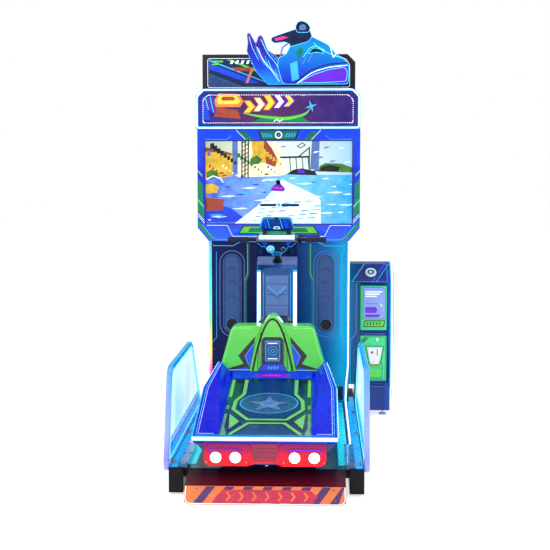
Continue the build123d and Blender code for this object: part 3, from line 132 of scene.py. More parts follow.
class Piece:
    """One mesh made of plates, lines, swept bars and turned shapes."""

    def __init__(self, name):
        self.name, self.mesh, self.finishes = name, bmesh.new(), []

    def take(self, shape, finish, place):
        """Adds a shape in one finish."""
        if finish not in self.finishes:
            self.finishes.append(finish)
        bmesh.ops.recalc_face_normals(shape, faces=shape.faces)
        shape.transform(place)
        for face in shape.faces:
            face.material_index = self.finishes.index(finish)
        held = bpy.data.meshes.new("held")
        shape.to_mesh(held)
        shape.free()
        self.mesh.from_mesh(held)
        bpy.data.meshes.remove(held)

    def plate(self, outline, finish, place, low, high, edge=0.0, steps=2):
        """Flat board between two heights over the plane, with eased top edges."""
        shape = bmesh.new()
        floor = [shape.verts.new((p[0], p[1], low)) for p in outline]
        roof = [shape.verts.new((p[0], p[1], high)) for p in outline]
        shape.faces.new(list(reversed(floor)))
        top = shape.faces.new(roof)
        for i in range(len(outline)):
            j = (i + 1) % len(outline)
            shape.faces.new((floor[i], floor[j], roof[j], roof[i]))
        if edge:
            bmesh.ops.bevel(shape, geom=list(top.edges), offset=edge, segments=steps, profile=0.5, affect="EDGES",
                clamp_overlap=True)
        self.take(shape, finish, place)

    def prints(self, outlines, finish, place, lift=0.4):
        """Flat printed or stuck-on shapes."""
        for outline in outlines:
            self.plate(outline, finish, place, -0.3, lift)

    def on(self, place):
        """Two pens for one plane: flat prints and lines, each given its finish and its height first."""
        def flat(finish, lift, *outlines):
            self.prints(outlines, finish, place, lift)

        def stroke(finish, width, lift, points, closed=False):
            self.line(points, width, finish, place, lift, closed)
        return flat, stroke

    def line(self, points, width, finish, place, lift=0.4, closed=False):
        """Flat line of even width with mitred corners."""
        points = [Vector(p) for p in points]
        count, half, sides = len(points), width / 2, []
        for i, point in enumerate(points):
            first = points[i - 1] if closed or i else point
            last = points[(i + 1) % count] if closed or i < count - 1 else point
            into, out = (point - first), (last - point)
            into = (into if into.length else out).normalized()
            out = (out if out.length else into).normalized()
            normal = Vector((-into.y - out.y, into.x + out.x)).normalized()
            share = max(0.35, normal.dot(Vector((-into.y, into.x))))
            sides.append((point + normal * half / share, point - normal * half / share))
        shape = bmesh.new()
        rows = [[shape.verts.new((p.x, p.y, z)) for z in (-0.3, lift) for p in pair] for pair in sides]
        for i in range(count if closed else count - 1):
            a, b = rows[i], rows[(i + 1) % count]
            for m, n in ((2, 3), (3, 1), (1, 0), (0, 2)):
                shape.faces.new((a[m], a[n], b[n], b[m]))
        if not closed:
            for row in (rows[0], rows[-1]):
                shape.faces.new((row[0], row[1], row[3], row[2]))
        self.take(shape, finish, place)

    def turned(self, profile, finish, place, at=(0, 0), steps=32):
        """Shape turned about the plane's outward axis. The profile is (radius, height)."""
        shape = bmesh.new()
        rings = []
        for radius, height in profile:
            if radius:
                angles = [2 * pi * k / steps for k in range(steps)]
                rings.append([shape.verts.new((at[0] + radius * cos(a), at[1] + radius * sin(a), height)) for a in
                    angles])
            else:
                rings.append([shape.verts.new((at[0], at[1], height))])
        pairs = list(zip(rings, rings[1:]))
        if profile[0][0] and profile[-1][0]:
            pairs.append((rings[-1], rings[0]))
        for a, b in pairs:
            for i in range(steps):
                j = (i + 1) % steps
                if len(a) == 1:
                    shape.faces.new((a[0], b[i], b[j]))
                elif len(b) == 1:
                    shape.faces.new((a[i], b[0], a[j]))
                else:
                    shape.faces.new((a[i], b[i], b[j], a[j]))
        self.take(shape, finish, place)

    def swept(self, path, profile, finish, closed=False, up=(0, 0, 1)):
        """Profile carried along a path of points. Its second direction stays near up."""
        path = [Vector(p) for p in path]
        count, shape, rows = len(path), bmesh.new(), []
        for i, point in enumerate(path):
            first = path[i - 1] if closed or i else point
            last = path[(i + 1) % count] if closed or i < count - 1 else point
            along = (last - first).normalized()
            side = along.cross(Vector(up)).normalized()
            lift = side.cross(along).normalized()
            rows.append([shape.verts.new(point + side * a + lift * b) for a, b in profile])
        for i in range(count if closed else count - 1):
            a, b = rows[i], rows[(i + 1) % count]
            for m in range(len(profile)):
                n = (m + 1) % len(profile)
                shape.faces.new((a[m], a[n], b[n], b[m]))
        if not closed:
            shape.faces.new(rows[0])
            shape.faces.new(rows[-1])
        self.take(shape, finish, WHOLE)

    def done(self, body, slot=None, stands_for=(), smooth=38):
        """Turns the piece into an object that rides on a body."""
        mesh = bpy.data.meshes.new(self.name)
        self.mesh.to_mesh(mesh)
        self.mesh.free()
        for finish in self.finishes:
            mesh.materials.append(finish)
        return settle(self.name, mesh, body, slot, stands_for, smooth)


def settle(name, mesh, body, slot=None, stands_for=(), smooth=38):
    """Object for a finished mesh, smooth but for its sharp edges."""
    mesh.polygons.foreach_set("use_smooth", [True] * len(mesh.polygons))
    mesh.set_sharp_from_angle(angle=radians(smooth))
    piece = bpy.data.objects.new(name, mesh)
    bpy.context.collection.objects.link(piece)
    even = piece.modifiers.new("even_normals", "WEIGHTED_NORMAL")
    even.keep_sharp = True
    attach(piece, body)
    if stands_for:
        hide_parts(*stands_for)
    return piece


def softened(part, body, finish, width, steps=2):
    """A copy of a frame part with its sharp edges eased, which stands for it."""
    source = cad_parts[part]
    shape = bmesh.new()
    shape.from_mesh(source.data)
    bmesh.ops.remove_doubles(shape, verts=shape.verts, dist=0.00001)
    bmesh.ops.dissolve_limit(shape, angle_limit=radians(1.5), verts=shape.verts, edges=shape.edges)
    sharp = [e for e in shape.edges if len(e.link_faces) == 2 and e.calc_face_angle(0) > radians(30)]
    bmesh.ops.bevel(shape, geom=sharp, offset=width * 0.001, segments=steps, profile=0.5, affect="EDGES",
        clamp_overlap=True)
    for face in shape.faces:
        face.material_index = 0
    mesh = bpy.data.meshes.new(part + "_eased")
    shape.to_mesh(mesh)
    shape.free()
    mesh.materials.clear()
    mesh.materials.append(finish)
    slot = source.data.materials[0].name
    return settle(part + "_eased", mesh, body, slot, (part,))


def dress(part, finish):
    """Gives a frame part that is shown as it is its finish."""
    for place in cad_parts[part].material_slots:
        place.material = finish


# ---- materials ----
def linear(code):
    """sRGB hex to linear colour."""
    parts = [int(code[i:i + 2], 16) / 255 for i in (1, 3, 5)]
    return tuple(p / 12.92 if p <= 0.04045 else ((p + 0.055) / 1.055) ** 2.4 for p in parts) + (1.0,)


def add(tree, kind, settings=None, links=None):
    """Adds a node with its settings and links."""
    made = tree.nodes.new(kind)
    for key, value in (settings or {}).items():
        if isinstance(key, str) and hasattr(made, key):
            setattr(made, key, value)
        else:
            made.inputs[key].default_value = value
    for key, source in (links or {}).items():
        tree.links.new(source, made.inputs[key])
    return made


def surface(name, colour, rough, other=None, patch=90.0, grain=1.2, relief=0.12, uneven=0.1, metal=0.0, coat=0.0,
        glow=0.0, shine=0.5, blend=None, cells=False):
    """Patchy colour, fine relief and uneven gloss on one shader. patch and grain are sizes in millimetres.
    blend is (axis, from, to, [(share, colour), ...]): a change of colour along one axis, printed on some finishes
    and painted light on others. glow gives off the colour as light: a lamp's own light, and painted light on
    finishes that are no lamps."""
    made = bpy.data.materials.new(name)
    made.use_nodes = True
    tree = made.node_tree
    tree.nodes.clear()
    where = add(tree, "ShaderNodeTexCoord").outputs["Object"]
    clouds = add(tree, "ShaderNodeTexNoise", {"Scale": 1000 / patch, "Detail": 3.0}, {"Vector": where})
    first = None
    if blend:
        axis, low, high, stops = blend
        parts = add(tree, "ShaderNodeSeparateXYZ", links={"Vector": where})
        share = add(tree, "ShaderNodeMapRange", {"From Min": low / 1000, "From Max": high / 1000},
            {"Value": parts.outputs[axis]})
        scale = add(tree, "ShaderNodeValToRGB", links={"Fac": share.outputs["Result"]})
        stones = scale.color_ramp.elements
        while len(stones) < len(stops):
            stones.new(0.5)
        for stone, (at, code) in zip(stones, stops):
            stone.position = at
        for stone, (at, code) in zip(stones, stops):
            stone.color = linear(code)
        first = scale.outputs["Color"]
    tone = add(tree, "ShaderNodeMix", {"data_type": "RGBA", "blend_type": "MIX"})
    wide = add(tree, "ShaderNodeMapRange", {"From Min": 0.35, "From Max": 0.7, "To Max": 0.55 if not blend else 0.22},
        {"Value": clouds.outputs["Fac"]})
    tree.links.new(wide.outputs["Result"], tone.inputs[0])
    if first:
        tree.links.new(first, tone.inputs[6])
    else:
        tone.inputs[6].default_value = linear(colour)
    tone.inputs[7].default_value = linear(other or colour)
    if cells:
        fine = add(tree, "ShaderNodeTexVoronoi", {"Scale": 1000 / grain}, {"Vector": where}).outputs["Distance"]
    else:
        fine = add(tree, "ShaderNodeTexNoise", {"Scale": 1000 / grain, "Detail": 2.0},
            {"Vector": where}).outputs["Fac"]
    bump = add(tree, "ShaderNodeBump", {"Strength": relief, "Distance": 0.0004}, {"Height": fine})
    wear = add(tree, "ShaderNodeTexNoise", {"Scale": 4000 / patch, "Detail": 4.0, "Roughness": 0.6},
        {"Vector": where})
    gloss = add(tree, "ShaderNodeMapRange", {"From Min": 0.3, "From Max": 0.7, "To Min": max(0.02, rough - uneven),
        "To Max": min(1.0, rough + uneven)}, {"Value": wear.outputs["Fac"]})
    shader = add(tree, "ShaderNodeBsdfPrincipled", {"Metallic": metal, "Coat Weight": coat, "Emission Strength": glow,
        "Specular IOR Level": shine}, {"Base Color": tone.outputs[2], "Roughness": gloss.outputs["Result"], "Normal":
        bump.outputs["Normal"]})
    if glow:
        tree.links.new(tone.outputs[2], shader.inputs["Emission Color"])
    add(tree, "ShaderNodeOutputMaterial", links={"Surface": shader.outputs["BSDF"]})
    return made


# Powder-coated steel: a fine orange-peel skin that breaks up the studio light along the rails.
frame_coat = surface("powder_coated_steel_black", "#04060C", 0.42, "#0A1020", grain=2.2, relief=0.35, shine=0.35)
# Moulded polypropylene: matt, with a faint pebble and paler scuffed patches.
cap_plastic = surface("moulded_polypropylene_black", "#020203", 0.5, "#0A0A10", grain=1.6, relief=0.4, patch=40,
    shine=0.25)
dark_plastic = surface("moulded_abs_charcoal", "#10121A", 0.38, "#1B1F2B", grain=1.1, relief=0.25, patch=60)
# Zinc-plated steel: bright, slightly blue, cloudy where the plating is thicker.
zinc = surface("zinc_plated_steel", "#C3CAD2", 0.28, "#8E98A5", metal=1.0, grain=0.9, relief=0.15, patch=18)
chrome = surface("chromed_steel", "#DCE2EA", 0.09, "#B9C3CF", metal=1.0, grain=3.0, relief=0.03, uneven=0.05,
    patch=50)
# Natural rubber: soft, almost no shine, dusty in patches.
rubber = surface("moulded_rubber_black", "#0B0B0C", 0.78, "#1C1C1E", grain=1.0, relief=0.5, patch=20)
# Gloss vinyl-coated sheet on the floor: dark maroon-black, with a painted red reflection of the tail lights
# in a band near them. It also glows a little: painted light.
vinyl_with_painted_tail_reflection = surface("gloss_vinyl_sheet_painted_tail_light_reflection", "#070307", 0.2, "#12060E", coat=0.1, shine=0.35, grain=3.0,
    relief=0.3, patch=120, glow=0.3, blend=("Y", -1210, -900, [(0.0, "#12040C"), (0.12, "#3C0614"), (0.3, "#5C0818"),
    (0.6, "#1C040C"), (1.0, "#070307")]))
# Pearl enamel of the guards: lavender low down, turning to cyan at the top rail.
# The enamel glows a little: painted light.
guard_pearl = surface("pearl_enamel_lavender_to_cyan", "#0C98E0", 0.2, "#28C4F0", coat=0.2, glow=0.55, relief=0.05,
    blend=("Y", -1034, 600, [(0.0, "#7C74CC"), (0.035, "#9A98E0"), (0.1, "#5C8CDC"), (0.15, "#0C9CE4"),
    (1.0, "#04A8E4")]))
# The thin raised edges of the guards, where the light from the glazing comes out.
guard_edge = surface("lit_enamel_edge_pale_cyan", "#8CF0F8", 0.3, "#5CDCF0", glow=0.9, patch=120, relief=0.02)
# Edge-lit cast acrylic: milky white, with cyan where the light gathers.
lit_acrylic = surface("edge_lit_frosted_acrylic", "#F4FFFF", 0.3, "#10C8E0", glow=0.85, patch=330, relief=0.1,
    grain=4)
# Gloss PVC sheet of the kick panels.
# The sheet glows: painted light.
azure_sheet = surface("gloss_pvc_sheet_azure", "#0474D8", 0.25, "#045CC0", shine=0.2, glow=0.62, patch=150,
    relief=0.04, blend=("Z", 141, 250, [(0.0, "#06A4E4"), (1.0, "#0878D8")]))
# Azure lacquer of the rail covers, which glows a little: painted light.
rail_azure = surface("gloss_lacquer_azure", "#0A5CA4", 0.2, "#0880B8", coat=0.4, glow=0.3, patch=120, relief=0.06,
    blend=("Y", -1034, -500, [(0.0, "#063C78"), (1.0, "#0A94CC")]))
# Film-wrapped board: a satin printed film over wood board, with the board's slight waviness under it.
navy_film = surface("printed_film_on_board_navy", "#04123C", 0.3, "#072462", coat=0.2, patch=180, grain=6.0,
    relief=0.1)
# The front's night-blue film turns cyan towards its right end: painted light spilling from the corner light. It also
# glows a little: painted light.
front_film_painted_light_spill = surface("printed_film_night_blue_painted_corner_light_spill", "#04103A", 0.26, "#061C56", shine=0.2, glow=0.4, patch=160,
    grain=6.0, relief=0.08, blend=("X", -456, 456, [(0.0, "#08144C"), (0.3, "#040E40"), (0.62, "#042464"),
    (0.84, "#0868A4"), (1.0, "#0CB4DE")]))
# The royal-blue film glows a little: painted light.
blue_film = surface("printed_film_on_board_royal_blue", "#0428C8", 0.25, "#0A3CE0", coat=0.2, glow=0.3, patch=200,
    grain=6.0, relief=0.08)
# Back-printed acrylic: the colour lies under a clear, hard gloss.
# It glows a little: painted light.
bezel_print = surface("back_printed_acrylic_royal_blue", "#0630D8", 0.12, "#0524B0", coat=0.4, glow=0.5, patch=160,
    grain=9.0, relief=0.02, blend=("Z", 1195, 1906, [(0.0, "#0A58EC"), (0.2, "#042CC8"), (0.62, "#1C24C4"),
    (1.0, "#0448DC")]))
# Screen-printing inks on film and acrylic: flat, slightly raised, satin. Most of them glow a little:
# painted light, as if lit from behind, also where no lamp lies behind them.
def ink(name, colour, other, glow, patch, coat=0.2, rough=0.25, shine=0.5):
    return surface("screen_ink_" + name, colour, rough, other, coat=coat, glow=glow, patch=patch, shine=shine)


ink_teal = ink("teal_green", "#067A52", "#056650", 0.35, 70)
ink_deep = ink("deep_sea", "#08306C", "#0A4474", 0.36, 90, coat=0.0, rough=0.3, shine=0.1)
ink_lime = ink("lime", "#5FC83A", "#48AE34", 0.4, 60)
ink_pear = ink("pear_green", "#72C868", "#5CB070", 0.36, 60, coat=0.1, shine=0.25)
# Mint is drawn only along the cowl wings' rims: a painted highlight.
ink_mint_rim_highlight = ink("mint_painted_rim_highlight", "#86EE8C", "#5CE070", 0.4, 60)
ink_moss = ink("moss_green", "#5FA85C", "#3C8450", 0.3, 60)
ink_white = ink("white", "#F2FAFF", "#CFE8FF", 0.5, 60, coat=0.0, rough=0.3)
ink_sky = ink("sky_blue", "#38B4F4", "#2088DC", 0.45, 60, coat=0.0, rough=0.3)
ink_haze = ink("haze_blue", "#5878B0", "#46649C", 0.3, 60, coat=0.0, rough=0.3)
ink_black = ink("black", "#04060C", "#0A0F1C", 0.0, 60, coat=0.4, rough=0.28)
ink_navy = ink("navy", "#030E36", "#051C58", 0.1, 80)
ink_blue = ink("royal_blue", "#0E40D8", "#082CB0", 0.4, 80)
ink_slate = ink("slate_blue", "#1C4C88", "#143C74", 0.35, 90, rough=0.3)
ink_violet = ink("violet", "#6420CC", "#4418A0", 0.45, 70)
ink_magenta = ink("magenta", "#E02AA8", "#B01C88", 0.35, 60, coat=0.4)
ink_yellow = ink("yellow", "#FFD23C", "#F5A81E", 0.45, 60, coat=0.3)
ink_orange = ink("orange", "#F08850", "#E86838", 0.2, 60, rough=0.3)
ink_plum = ink("plum", "#60407C", "#4A2C66", 0.12, 60, rough=0.3)
ink_rose = ink("rose_red", "#D83C58", "#B0305C", 0.16, 80, rough=0.3)
ink_rust = ink("rust", "#A8452E", "#7E2E22", 0.2, 60, coat=0.3, rough=0.3)
ink_cream = ink("cream", "#F4F0D2", "#E2DCA8", 0.5, 80, coat=0.0, rough=0.3)
# Opal diffuser over white light strips.
led_white = surface("opal_polycarbonate_lit_white", "#E9FCFF", 0.4, "#FFFFFF", glow=2.0, patch=60)
# The diffuser beside its bright core: the light has fallen to a saturated blue.
led_halo = surface("opal_polycarbonate_lit_edge_blue", "#2C9CF0", 0.3, "#58C8FF", glow=0.55, patch=80)
led_cyan = surface("opal_polycarbonate_lit_cyan", "#5CDCFA", 0.4, "#34C8F4", glow=1.0, patch=60)
led_soft = surface("opal_polycarbonate_lit_dim_blue", "#5070B0", 0.35, "#405C9C", glow=0.35, patch=60)
led_rainbow = surface("opal_polycarbonate_colour_changing", "#9FE8FF", 0.4, "#D8F8FF", glow=1.3, patch=300,
    blend=("Z", 141, 1195, [(0.0, "#E81E9C"), (0.2, "#F0309A"), (0.34, "#F6E23C"), (0.5, "#58E070"),
    (0.72, "#3FD8F2"), (1.0, "#2E8CF0")]))
# Injection-moulded gloss ABS of the scooter's body. The hull, deck, seat, column and pod shells and the deck
# panel glow a little: painted light that keeps their colours bright.
hull_shell = surface("gloss_abs_navy", "#051478", 0.14, "#040C50", coat=0.4, glow=0.14, patch=220, grain=14.0,
    relief=0.05)
deck_shell = surface("gloss_abs_royal_blue", "#0410C8", 0.2, "#0208A0", shine=0.25, glow=0.55, patch=260, grain=16.0,
    relief=0.05)
seat_shell = surface("gloss_abs_lime_green", "#4CC83C", 0.18, "#38B034", coat=0.3, glow=0.42, patch=120, grain=14.0,
    relief=0.05, blend=("Z", 504, 825, [(0.0, "#3CC840"), (0.5, "#50C444"), (1.0, "#66CC50")]))
column_shell = surface("gloss_abs_slate_blue", "#2A58A4", 0.18, "#1C4084", coat=0.3, glow=0.3, patch=160, grain=12.0,
    relief=0.05, blend=("Z", 308, 1100, [(0.0, "#2A4C92"), (0.6, "#4472B8"), (1.0, "#27509E")]))
pod_shell = surface("gloss_abs_midnight_blue", "#0A2352", 0.16, "#061636", coat=0.8, glow=0.06, patch=70, grain=10.0,
    relief=0.05)
panel_gloss = surface("gloss_polycarbonate_deep_teal", "#063050", 0.1, "#052040", coat=0.5, glow=0.22, patch=240,
    grain=20.0, relief=0.03, blend=("Y", -1175, -320, [(0.0, "#124E8C"), (0.4, "#0B3F66"), (1.0, "#0A2A4C")]))
tail_shell = surface("translucent_polycarbonate_red", "#C80424", 0.2, "#A00338", coat=0.1, shine=0.25, glow=0.62,
    patch=90, relief=0.04, blend=("Z", 186, 314, [(0.0, "#FF0418"), (0.35, "#E40224"), (0.62, "#98063C"),
    (1.0, "#500C60")]))
tail_dark = surface("translucent_polycarbonate_wine", "#8C0634", 0.2, "#600434", coat=0.2, glow=0.45, patch=90)
lens_glow = surface("moulded_acrylic_lens_warm", "#FFF0DC", 0.15, "#FFD9B0", glow=3.2, patch=20, relief=0.05,
    grain=5.0)
# Upholstery vinyl: leather grain, satin, with duller, paler worn patches here and there.
vinyl = surface("upholstery_vinyl_black", "#111216", 0.42, "#1E2026", grain=2.4, relief=0.55, uneven=0.12, patch=130,
    cells=True)
thread = surface("bonded_polyester_thread", "#3A3E48", 0.7, "#2A2E36", grain=0.8, relief=0.5, patch=10)
grip_foam = surface("ribbed_grip_rubber_violet_black", "#231A38", 0.6, "#33264E", grain=0.9, relief=0.4, patch=24)
# Tinted acrylic of the windshield, which glows a little: painted light.
shield_tint = surface("tinted_acrylic_deep_blue", "#0B2F86", 0.06, "#103FA6", coat=0.9, glow=0.2, patch=90,
    relief=0.02)
# Navy film of the coin box, teal at its left edge and brighter blue at its right: painted light spilling from the
# corner light and the column's lit edge beside them. It also glows a little: painted light.
coin_film_painted_light_spill = surface("gloss_film_navy_painted_light_spill", "#062468", 0.2, "#083C90", coat=0.1, shine=0.3, glow=0.36, patch=150,
    grain=8.0, relief=0.05, blend=("X", 456, 758, [(0.0, "#0A80A8"), (0.2, "#063A78"), (0.8, "#062A80"),
    (1.0, "#0A54B4")]))
# The green enamel and the lavender sheet below glow a little: painted light.
coin_enamel = surface("stoved_enamel_green", "#30C878", 0.24, "#22B06C", coat=0.1, glow=0.5, patch=70, grain=2.5,
    relief=0.12)
pay_sheet = surface("anodised_sheet_lavender", "#8CA4E8", 0.26, "#748CDC", glow=0.3, patch=80, grain=1.0, relief=0.08)
grey_case = surface("painted_sheet_grey", "#4A4D55", 0.42, "#3A3D45", grain=1.8, relief=0.25, patch=70)
silver_cast = surface("polished_zinc_casting", "#DDE3EA", 0.16, "#AEB8C4", metal=1.0, grain=1.8, relief=0.1, patch=22)
# The white ABS glows a little: painted light.
white_abs = surface("gloss_abs_white", "#F0F5FF", 0.2, "#DDE8FA", coat=0.5, glow=0.25, patch=30)
hole_dark = surface("open_hole_shadow", "#020204", 0.9, "#050509", patch=30, relief=0.0)
cone_paper = surface("doped_paper_cone", "#0A1730", 0.55, "#102244", grain=1.4, relief=0.4, patch=20)
# The red knob glows a little: painted light.
red_knob = surface("moulded_acrylic_red", "#D0182A", 0.15, "#B01020", coat=0.6, glow=0.2, patch=10)
blue_knob = surface("moulded_acrylic_lit_blue", "#3D8BFF", 0.15, "#7FC0FF", coat=0.6, glow=1.6, patch=10)
brass = surface("turned_brass", "#D9B25A", 0.25, "#B8903C", metal=1.0, grain=1.0, relief=0.1, patch=8)


# ---- small parts that repeat, made by node trees ----
def domed_head(tree, given):
    """Screw head: a low frustum."""
    cone = add(tree, "GeometryNodeMeshCone", {"Vertices": 14}, {"Radius Bottom": given["Radius"], "Radius Top":
        given["Top radius"], "Depth": given["Height"]})
    return cone.outputs["Mesh"]


def hexagon_socket(tree, given):
    """Six-sided recess of a socket screw."""
    return add(tree, "GeometryNodeMeshCylinder", {"Vertices": 6}, {"Radius": given["Radius"], "Depth":
        given["Height"]}).outputs["Mesh"]


def slit(tree, given):
    """Long vent slot."""
    size = add(tree, "ShaderNodeCombineXYZ", links={"X": given["Length"], "Y": given["Width"], "Z": given["Height"]})
    return add(tree, "GeometryNodeMeshCube", links={"Size": size.outputs["Vector"]}).outputs["Mesh"]


def repeated(name, body, spots, finish, form, slot, **sizes):
    """The same small shape at each spot, turned to face outwards. spots are (place, direction); sizes are metres."""
    cloud = bpy.data.meshes.new(name + "_points")
    cloud.from_pydata([Vector(place) * 0.001 for place, out in spots], [], [])
    heading = cloud.attributes.new("heading", "FLOAT_VECTOR", "POINT")
    for i, (place, out) in enumerate(spots):
        heading.data[i].vector = out
    holder = bpy.data.objects.new(name + "_points", cloud)
    bpy.context.collection.objects.link(holder)
    tree = bpy.data.node_groups.new(name, "GeometryNodeTree")
    tree.interface.new_socket(name="Geometry", in_out="INPUT", socket_type="NodeSocketGeometry")
    sockets = {}
    for key in sizes:
        label = key.replace("_", " ").capitalize()
        sockets[key] = tree.interface.new_socket(name=label, in_out="INPUT", socket_type="NodeSocketFloat")
    tree.interface.new_socket(name="Geometry", in_out="OUTPUT", socket_type="NodeSocketGeometry")
    given = add(tree, "NodeGroupInput").outputs
    outward = add(tree, "GeometryNodeInputNamedAttribute", {"data_type": "FLOAT_VECTOR", "Name": "heading"})
    turn = add(tree, "FunctionNodeAlignRotationToVector", {"axis": "Z"}, {"Vector": outward.outputs["Attribute"]})
    spread = add(tree, "GeometryNodeInstanceOnPoints", links={"Points": given["Geometry"], "Instance":
        form(tree, given), "Rotation": turn.outputs["Rotation"]})
    real = add(tree, "GeometryNodeRealizeInstances", links={"Geometry": spread.outputs["Instances"]})
    coated = add(tree, "GeometryNodeSetMaterial", {"Material": finish}, {"Geometry": real.outputs["Geometry"]})
    add(tree, "NodeGroupOutput", links={"Geometry": coated.outputs["Geometry"]})
    worker = holder.modifiers.new("repeat", "NODES")
    worker.node_group = tree
    for key, socket in sockets.items():
        worker[socket.identifier] = sizes[key]
    plain = bpy.data.meshes.new_from_object(holder.evaluated_get(bpy.context.evaluated_depsgraph_get()))
    bpy.data.objects.remove(holder)
    return settle(name, plain, body, slot)


def socket_screws(name, body, spots, radius):
    """Socket screws with their recesses."""
    r = radius / 1000
    repeated(name, body, spots, zinc, domed_head, "steel", radius=r, top_radius=r * 0.78, height=r * 0.55)
    recess = [(Vector(p) + Vector(d) * radius * 0.46, d) for p, d in spots]
    repeated(name + "_recess", body, recess, hole_dark, hexagon_socket, "steel", radius=r * 0.42, height=r * 0.3)


# Directions; NEAR points back to the rider.
RIGHT, NEAR, FAR, UP = (1, 0, 0), (0, -1, 0), (0, 1, 0), (0, 0, 1)


# ---- base ----
def base():
    rail_high = span("base_frame")[1]
    softened("base_frame", "base", frame_coat, 2.5)
    softened("rail_end_caps", "base", cap_plastic, 3.5, 3)
    dress("leveling_feet", zinc)
    dress("base_deck", vinyl_with_painted_tail_reflection)
    dress("hinge_pins", zinc)
    softened("bearing_blocks", "base", grey_case, 2.0)
    softened("bump_stops", "base", rubber, 3.0, 3)
    low, high = span("ramp_cover")
    deck_low, deck_high = span("base_deck")
    half, toe, back = high.x, low.y, deck_low.y
    crest = Vector((toe + 60.0, 81.0))
    ramp = Piece("ramp_sheet")
    lip_rise = crest - Vector((toe, low.z))
    lip = facing((0, toe, low.z), (1, 0, 0), (0, lip_rise.x, lip_rise.y))
    tall = lip_rise.length
    shape = [(half, tall), (-half, tall)] + rounded([(-half, tall), (-half, 0), (half, 0), (half, tall)], 34, 8,
        closed=False)[1:-1]
    ramp.plate(shape, ink_orange, lip, -4.0, -0.2, 1.2)
    stripes = []
    for k in range(-9, 9):
        u = k * 96.0 + 30.0
        stripes.append(strip(4.0, u, u + 44.0, tall - 3.0, u + 44.0 + 62.0, u + 62.0))
    inside = half - 8.0
    for stripe in stripes:
        clipped = [(max(-inside, min(inside, u)), v) for u, v in stripe]
        wide = max(u for u, v in clipped) - min(u for u, v in clipped)
        if wide > 62.0 and abs(stripe[0][0] + 50) < half - 20:
            ramp.prints([clipped], ink_plum, lip, 0.3)
    middle = [(-262, 9), (238, 9), (262, 44), (222, 78), (-208, 78), (-240, 46)]
    ramp.prints([middle], ink_rose, lip, 0.6)
    for k in range(7):
        u = -190 + k * 64.0
        ramp.line([(u, 20), (u + 17, 43), (u, 66)], 9.0, ink_orange, lip, 0.8)
    rim = rounded([(-half + 5, tall - 3), (-half + 5, 4), (half - 5, 4), (half - 5, tall - 3)], 32, 8, closed=False)
    ramp.line(rim, 4.0, ink_white, lip, 0.9)
    slope_rise = Vector((back, deck_high.z)) - crest
    slope = facing((0, crest.x, crest.y), (1, 0, 0), (0, slope_rise.x, slope_rise.y))
    long = slope_rise.length
    ramp.plate(oblong(-half, half, 0, long), vinyl_with_painted_tail_reflection, slope, -4.0, 0.0, 0.8)
    for k in range(6):
        v = 24.0 + k * 22.0
        ramp.plate(oblong(-half + 30, half - 30, v, v + 7.0, 3.0, 3), vinyl_with_painted_tail_reflection, slope, -0.2, 1.8, 0.8)
    for side in (-1, 1):
        cheek = flank(side, half)
        outline = [(side * (toe + 10), 12), (side * back, 14), (side * back, deck_high.z - 1),
            (side * crest.x, crest.y - 2)]
        ramp.plate(outline, frame_coat, cheek, -6.0, 0.0, 1.0)
    ramp.done("base", "ramp_print", ("ramp_cover",))
    out = Vector((0, -lip_rise.y, lip_rise.x)).normalized()
    spots = []
    for u, v in ((-half + 60, tall - 18), (half - 60, tall - 18), (-half + 52, 22), (half - 52, 22)):
        spots.append((lip @ Vector((u, v, 0.4)) * 1000, out))
    socket_screws("ramp_screws", "base", spots, 5.5)
    covers = Piece("rail_light_covers")
    tops = facing((0, 0, rail_high.z), (1, 0, 0), (0, 1, 0))
    for side in (-1, 1):
        u0, u1 = sorted((side * 447, side * 490))
        covers.plate(oblong(u0, u1, -1010, 880, 4, 3), azure_sheet, tops, -0.3, 0.8, 0.4)
    for side in (-1, 1):
        top = facing((side * 426.0, 0, rail_high.z), (side, 0, 0), (0, side, 0))
        outline = oblong(-26.0, 25.0, min(side * -1018, side * -560), max(side * -1018, side * -560), 6.0, 4)
        covers.plate(outline, rail_azure, top, 0.2, 19.0, 3.0, 3)
    covers.done("base", "board_navy")
    spots = [((side * x, y, rail_high.z + 19.0), UP) for side in (-1, 1) for x in (409, 443) for y in
        (-1000, -790, -580)]
    socket_screws("rail_cover_screws", "base", spots, 6.5)


def guards():
    tubes = Piece("guard_tube_frames")
    around = rounded([(-1019, 126), (574, 156), (84, 616), (-847, 616)], 62, 9)
    inner = rounded(strip(172, -988, 540, 598, 72, -832), 44, 7)
    for side in (-1, 1):
        x = side * 509.0
        tubes.swept([(x, p.x, p.y) for p in around], oblong(-15, 15, -14, 15, 9.5, 5), guard_pearl, closed=True,
            up=(side, 0, 0))
        tubes.swept([(x - side * 13.5, p.x, p.y) for p in inner], ring(0, 0, 2.6, 8), guard_edge, closed=True,
            up=(side, 0, 0))
        tubes.swept([(x, -974, 258), (x, 462, 258)], oblong(-15, 15, -11, 11, 6, 4), guard_pearl, up=(side, 0, 0))
        for z in (245, 271):
            tubes.swept([(x - side * 10.0, -968, z), (x - side * 10.0, 456, z)], ring(0, 0, 2.2, 8), guard_edge,
                up=(side, 0, 0))
    tubes.done("base", "guard_cyan", ("guard_frames",))
    softened("guard_glass", "base", lit_acrylic, 1.6)
    softened("guard_kick_panels", "base", azure_sheet, 1.6)
    softened("guard_brackets", "base", zinc, 1.2)
    outer = span("guard_frames")[1].x
    spots = []
    for side in (-1, 1):
        for y in (-914, -217, 230):
            for step in (-22, 22):
                spots.append(((side * (outer - 27.0), y + step, 156), (-side, 0, 0)))
                spots.append(((side * (outer - 39.0), y + step, 145), UP))
    socket_screws("guard_bracket_screws", "base", spots, 5.0)


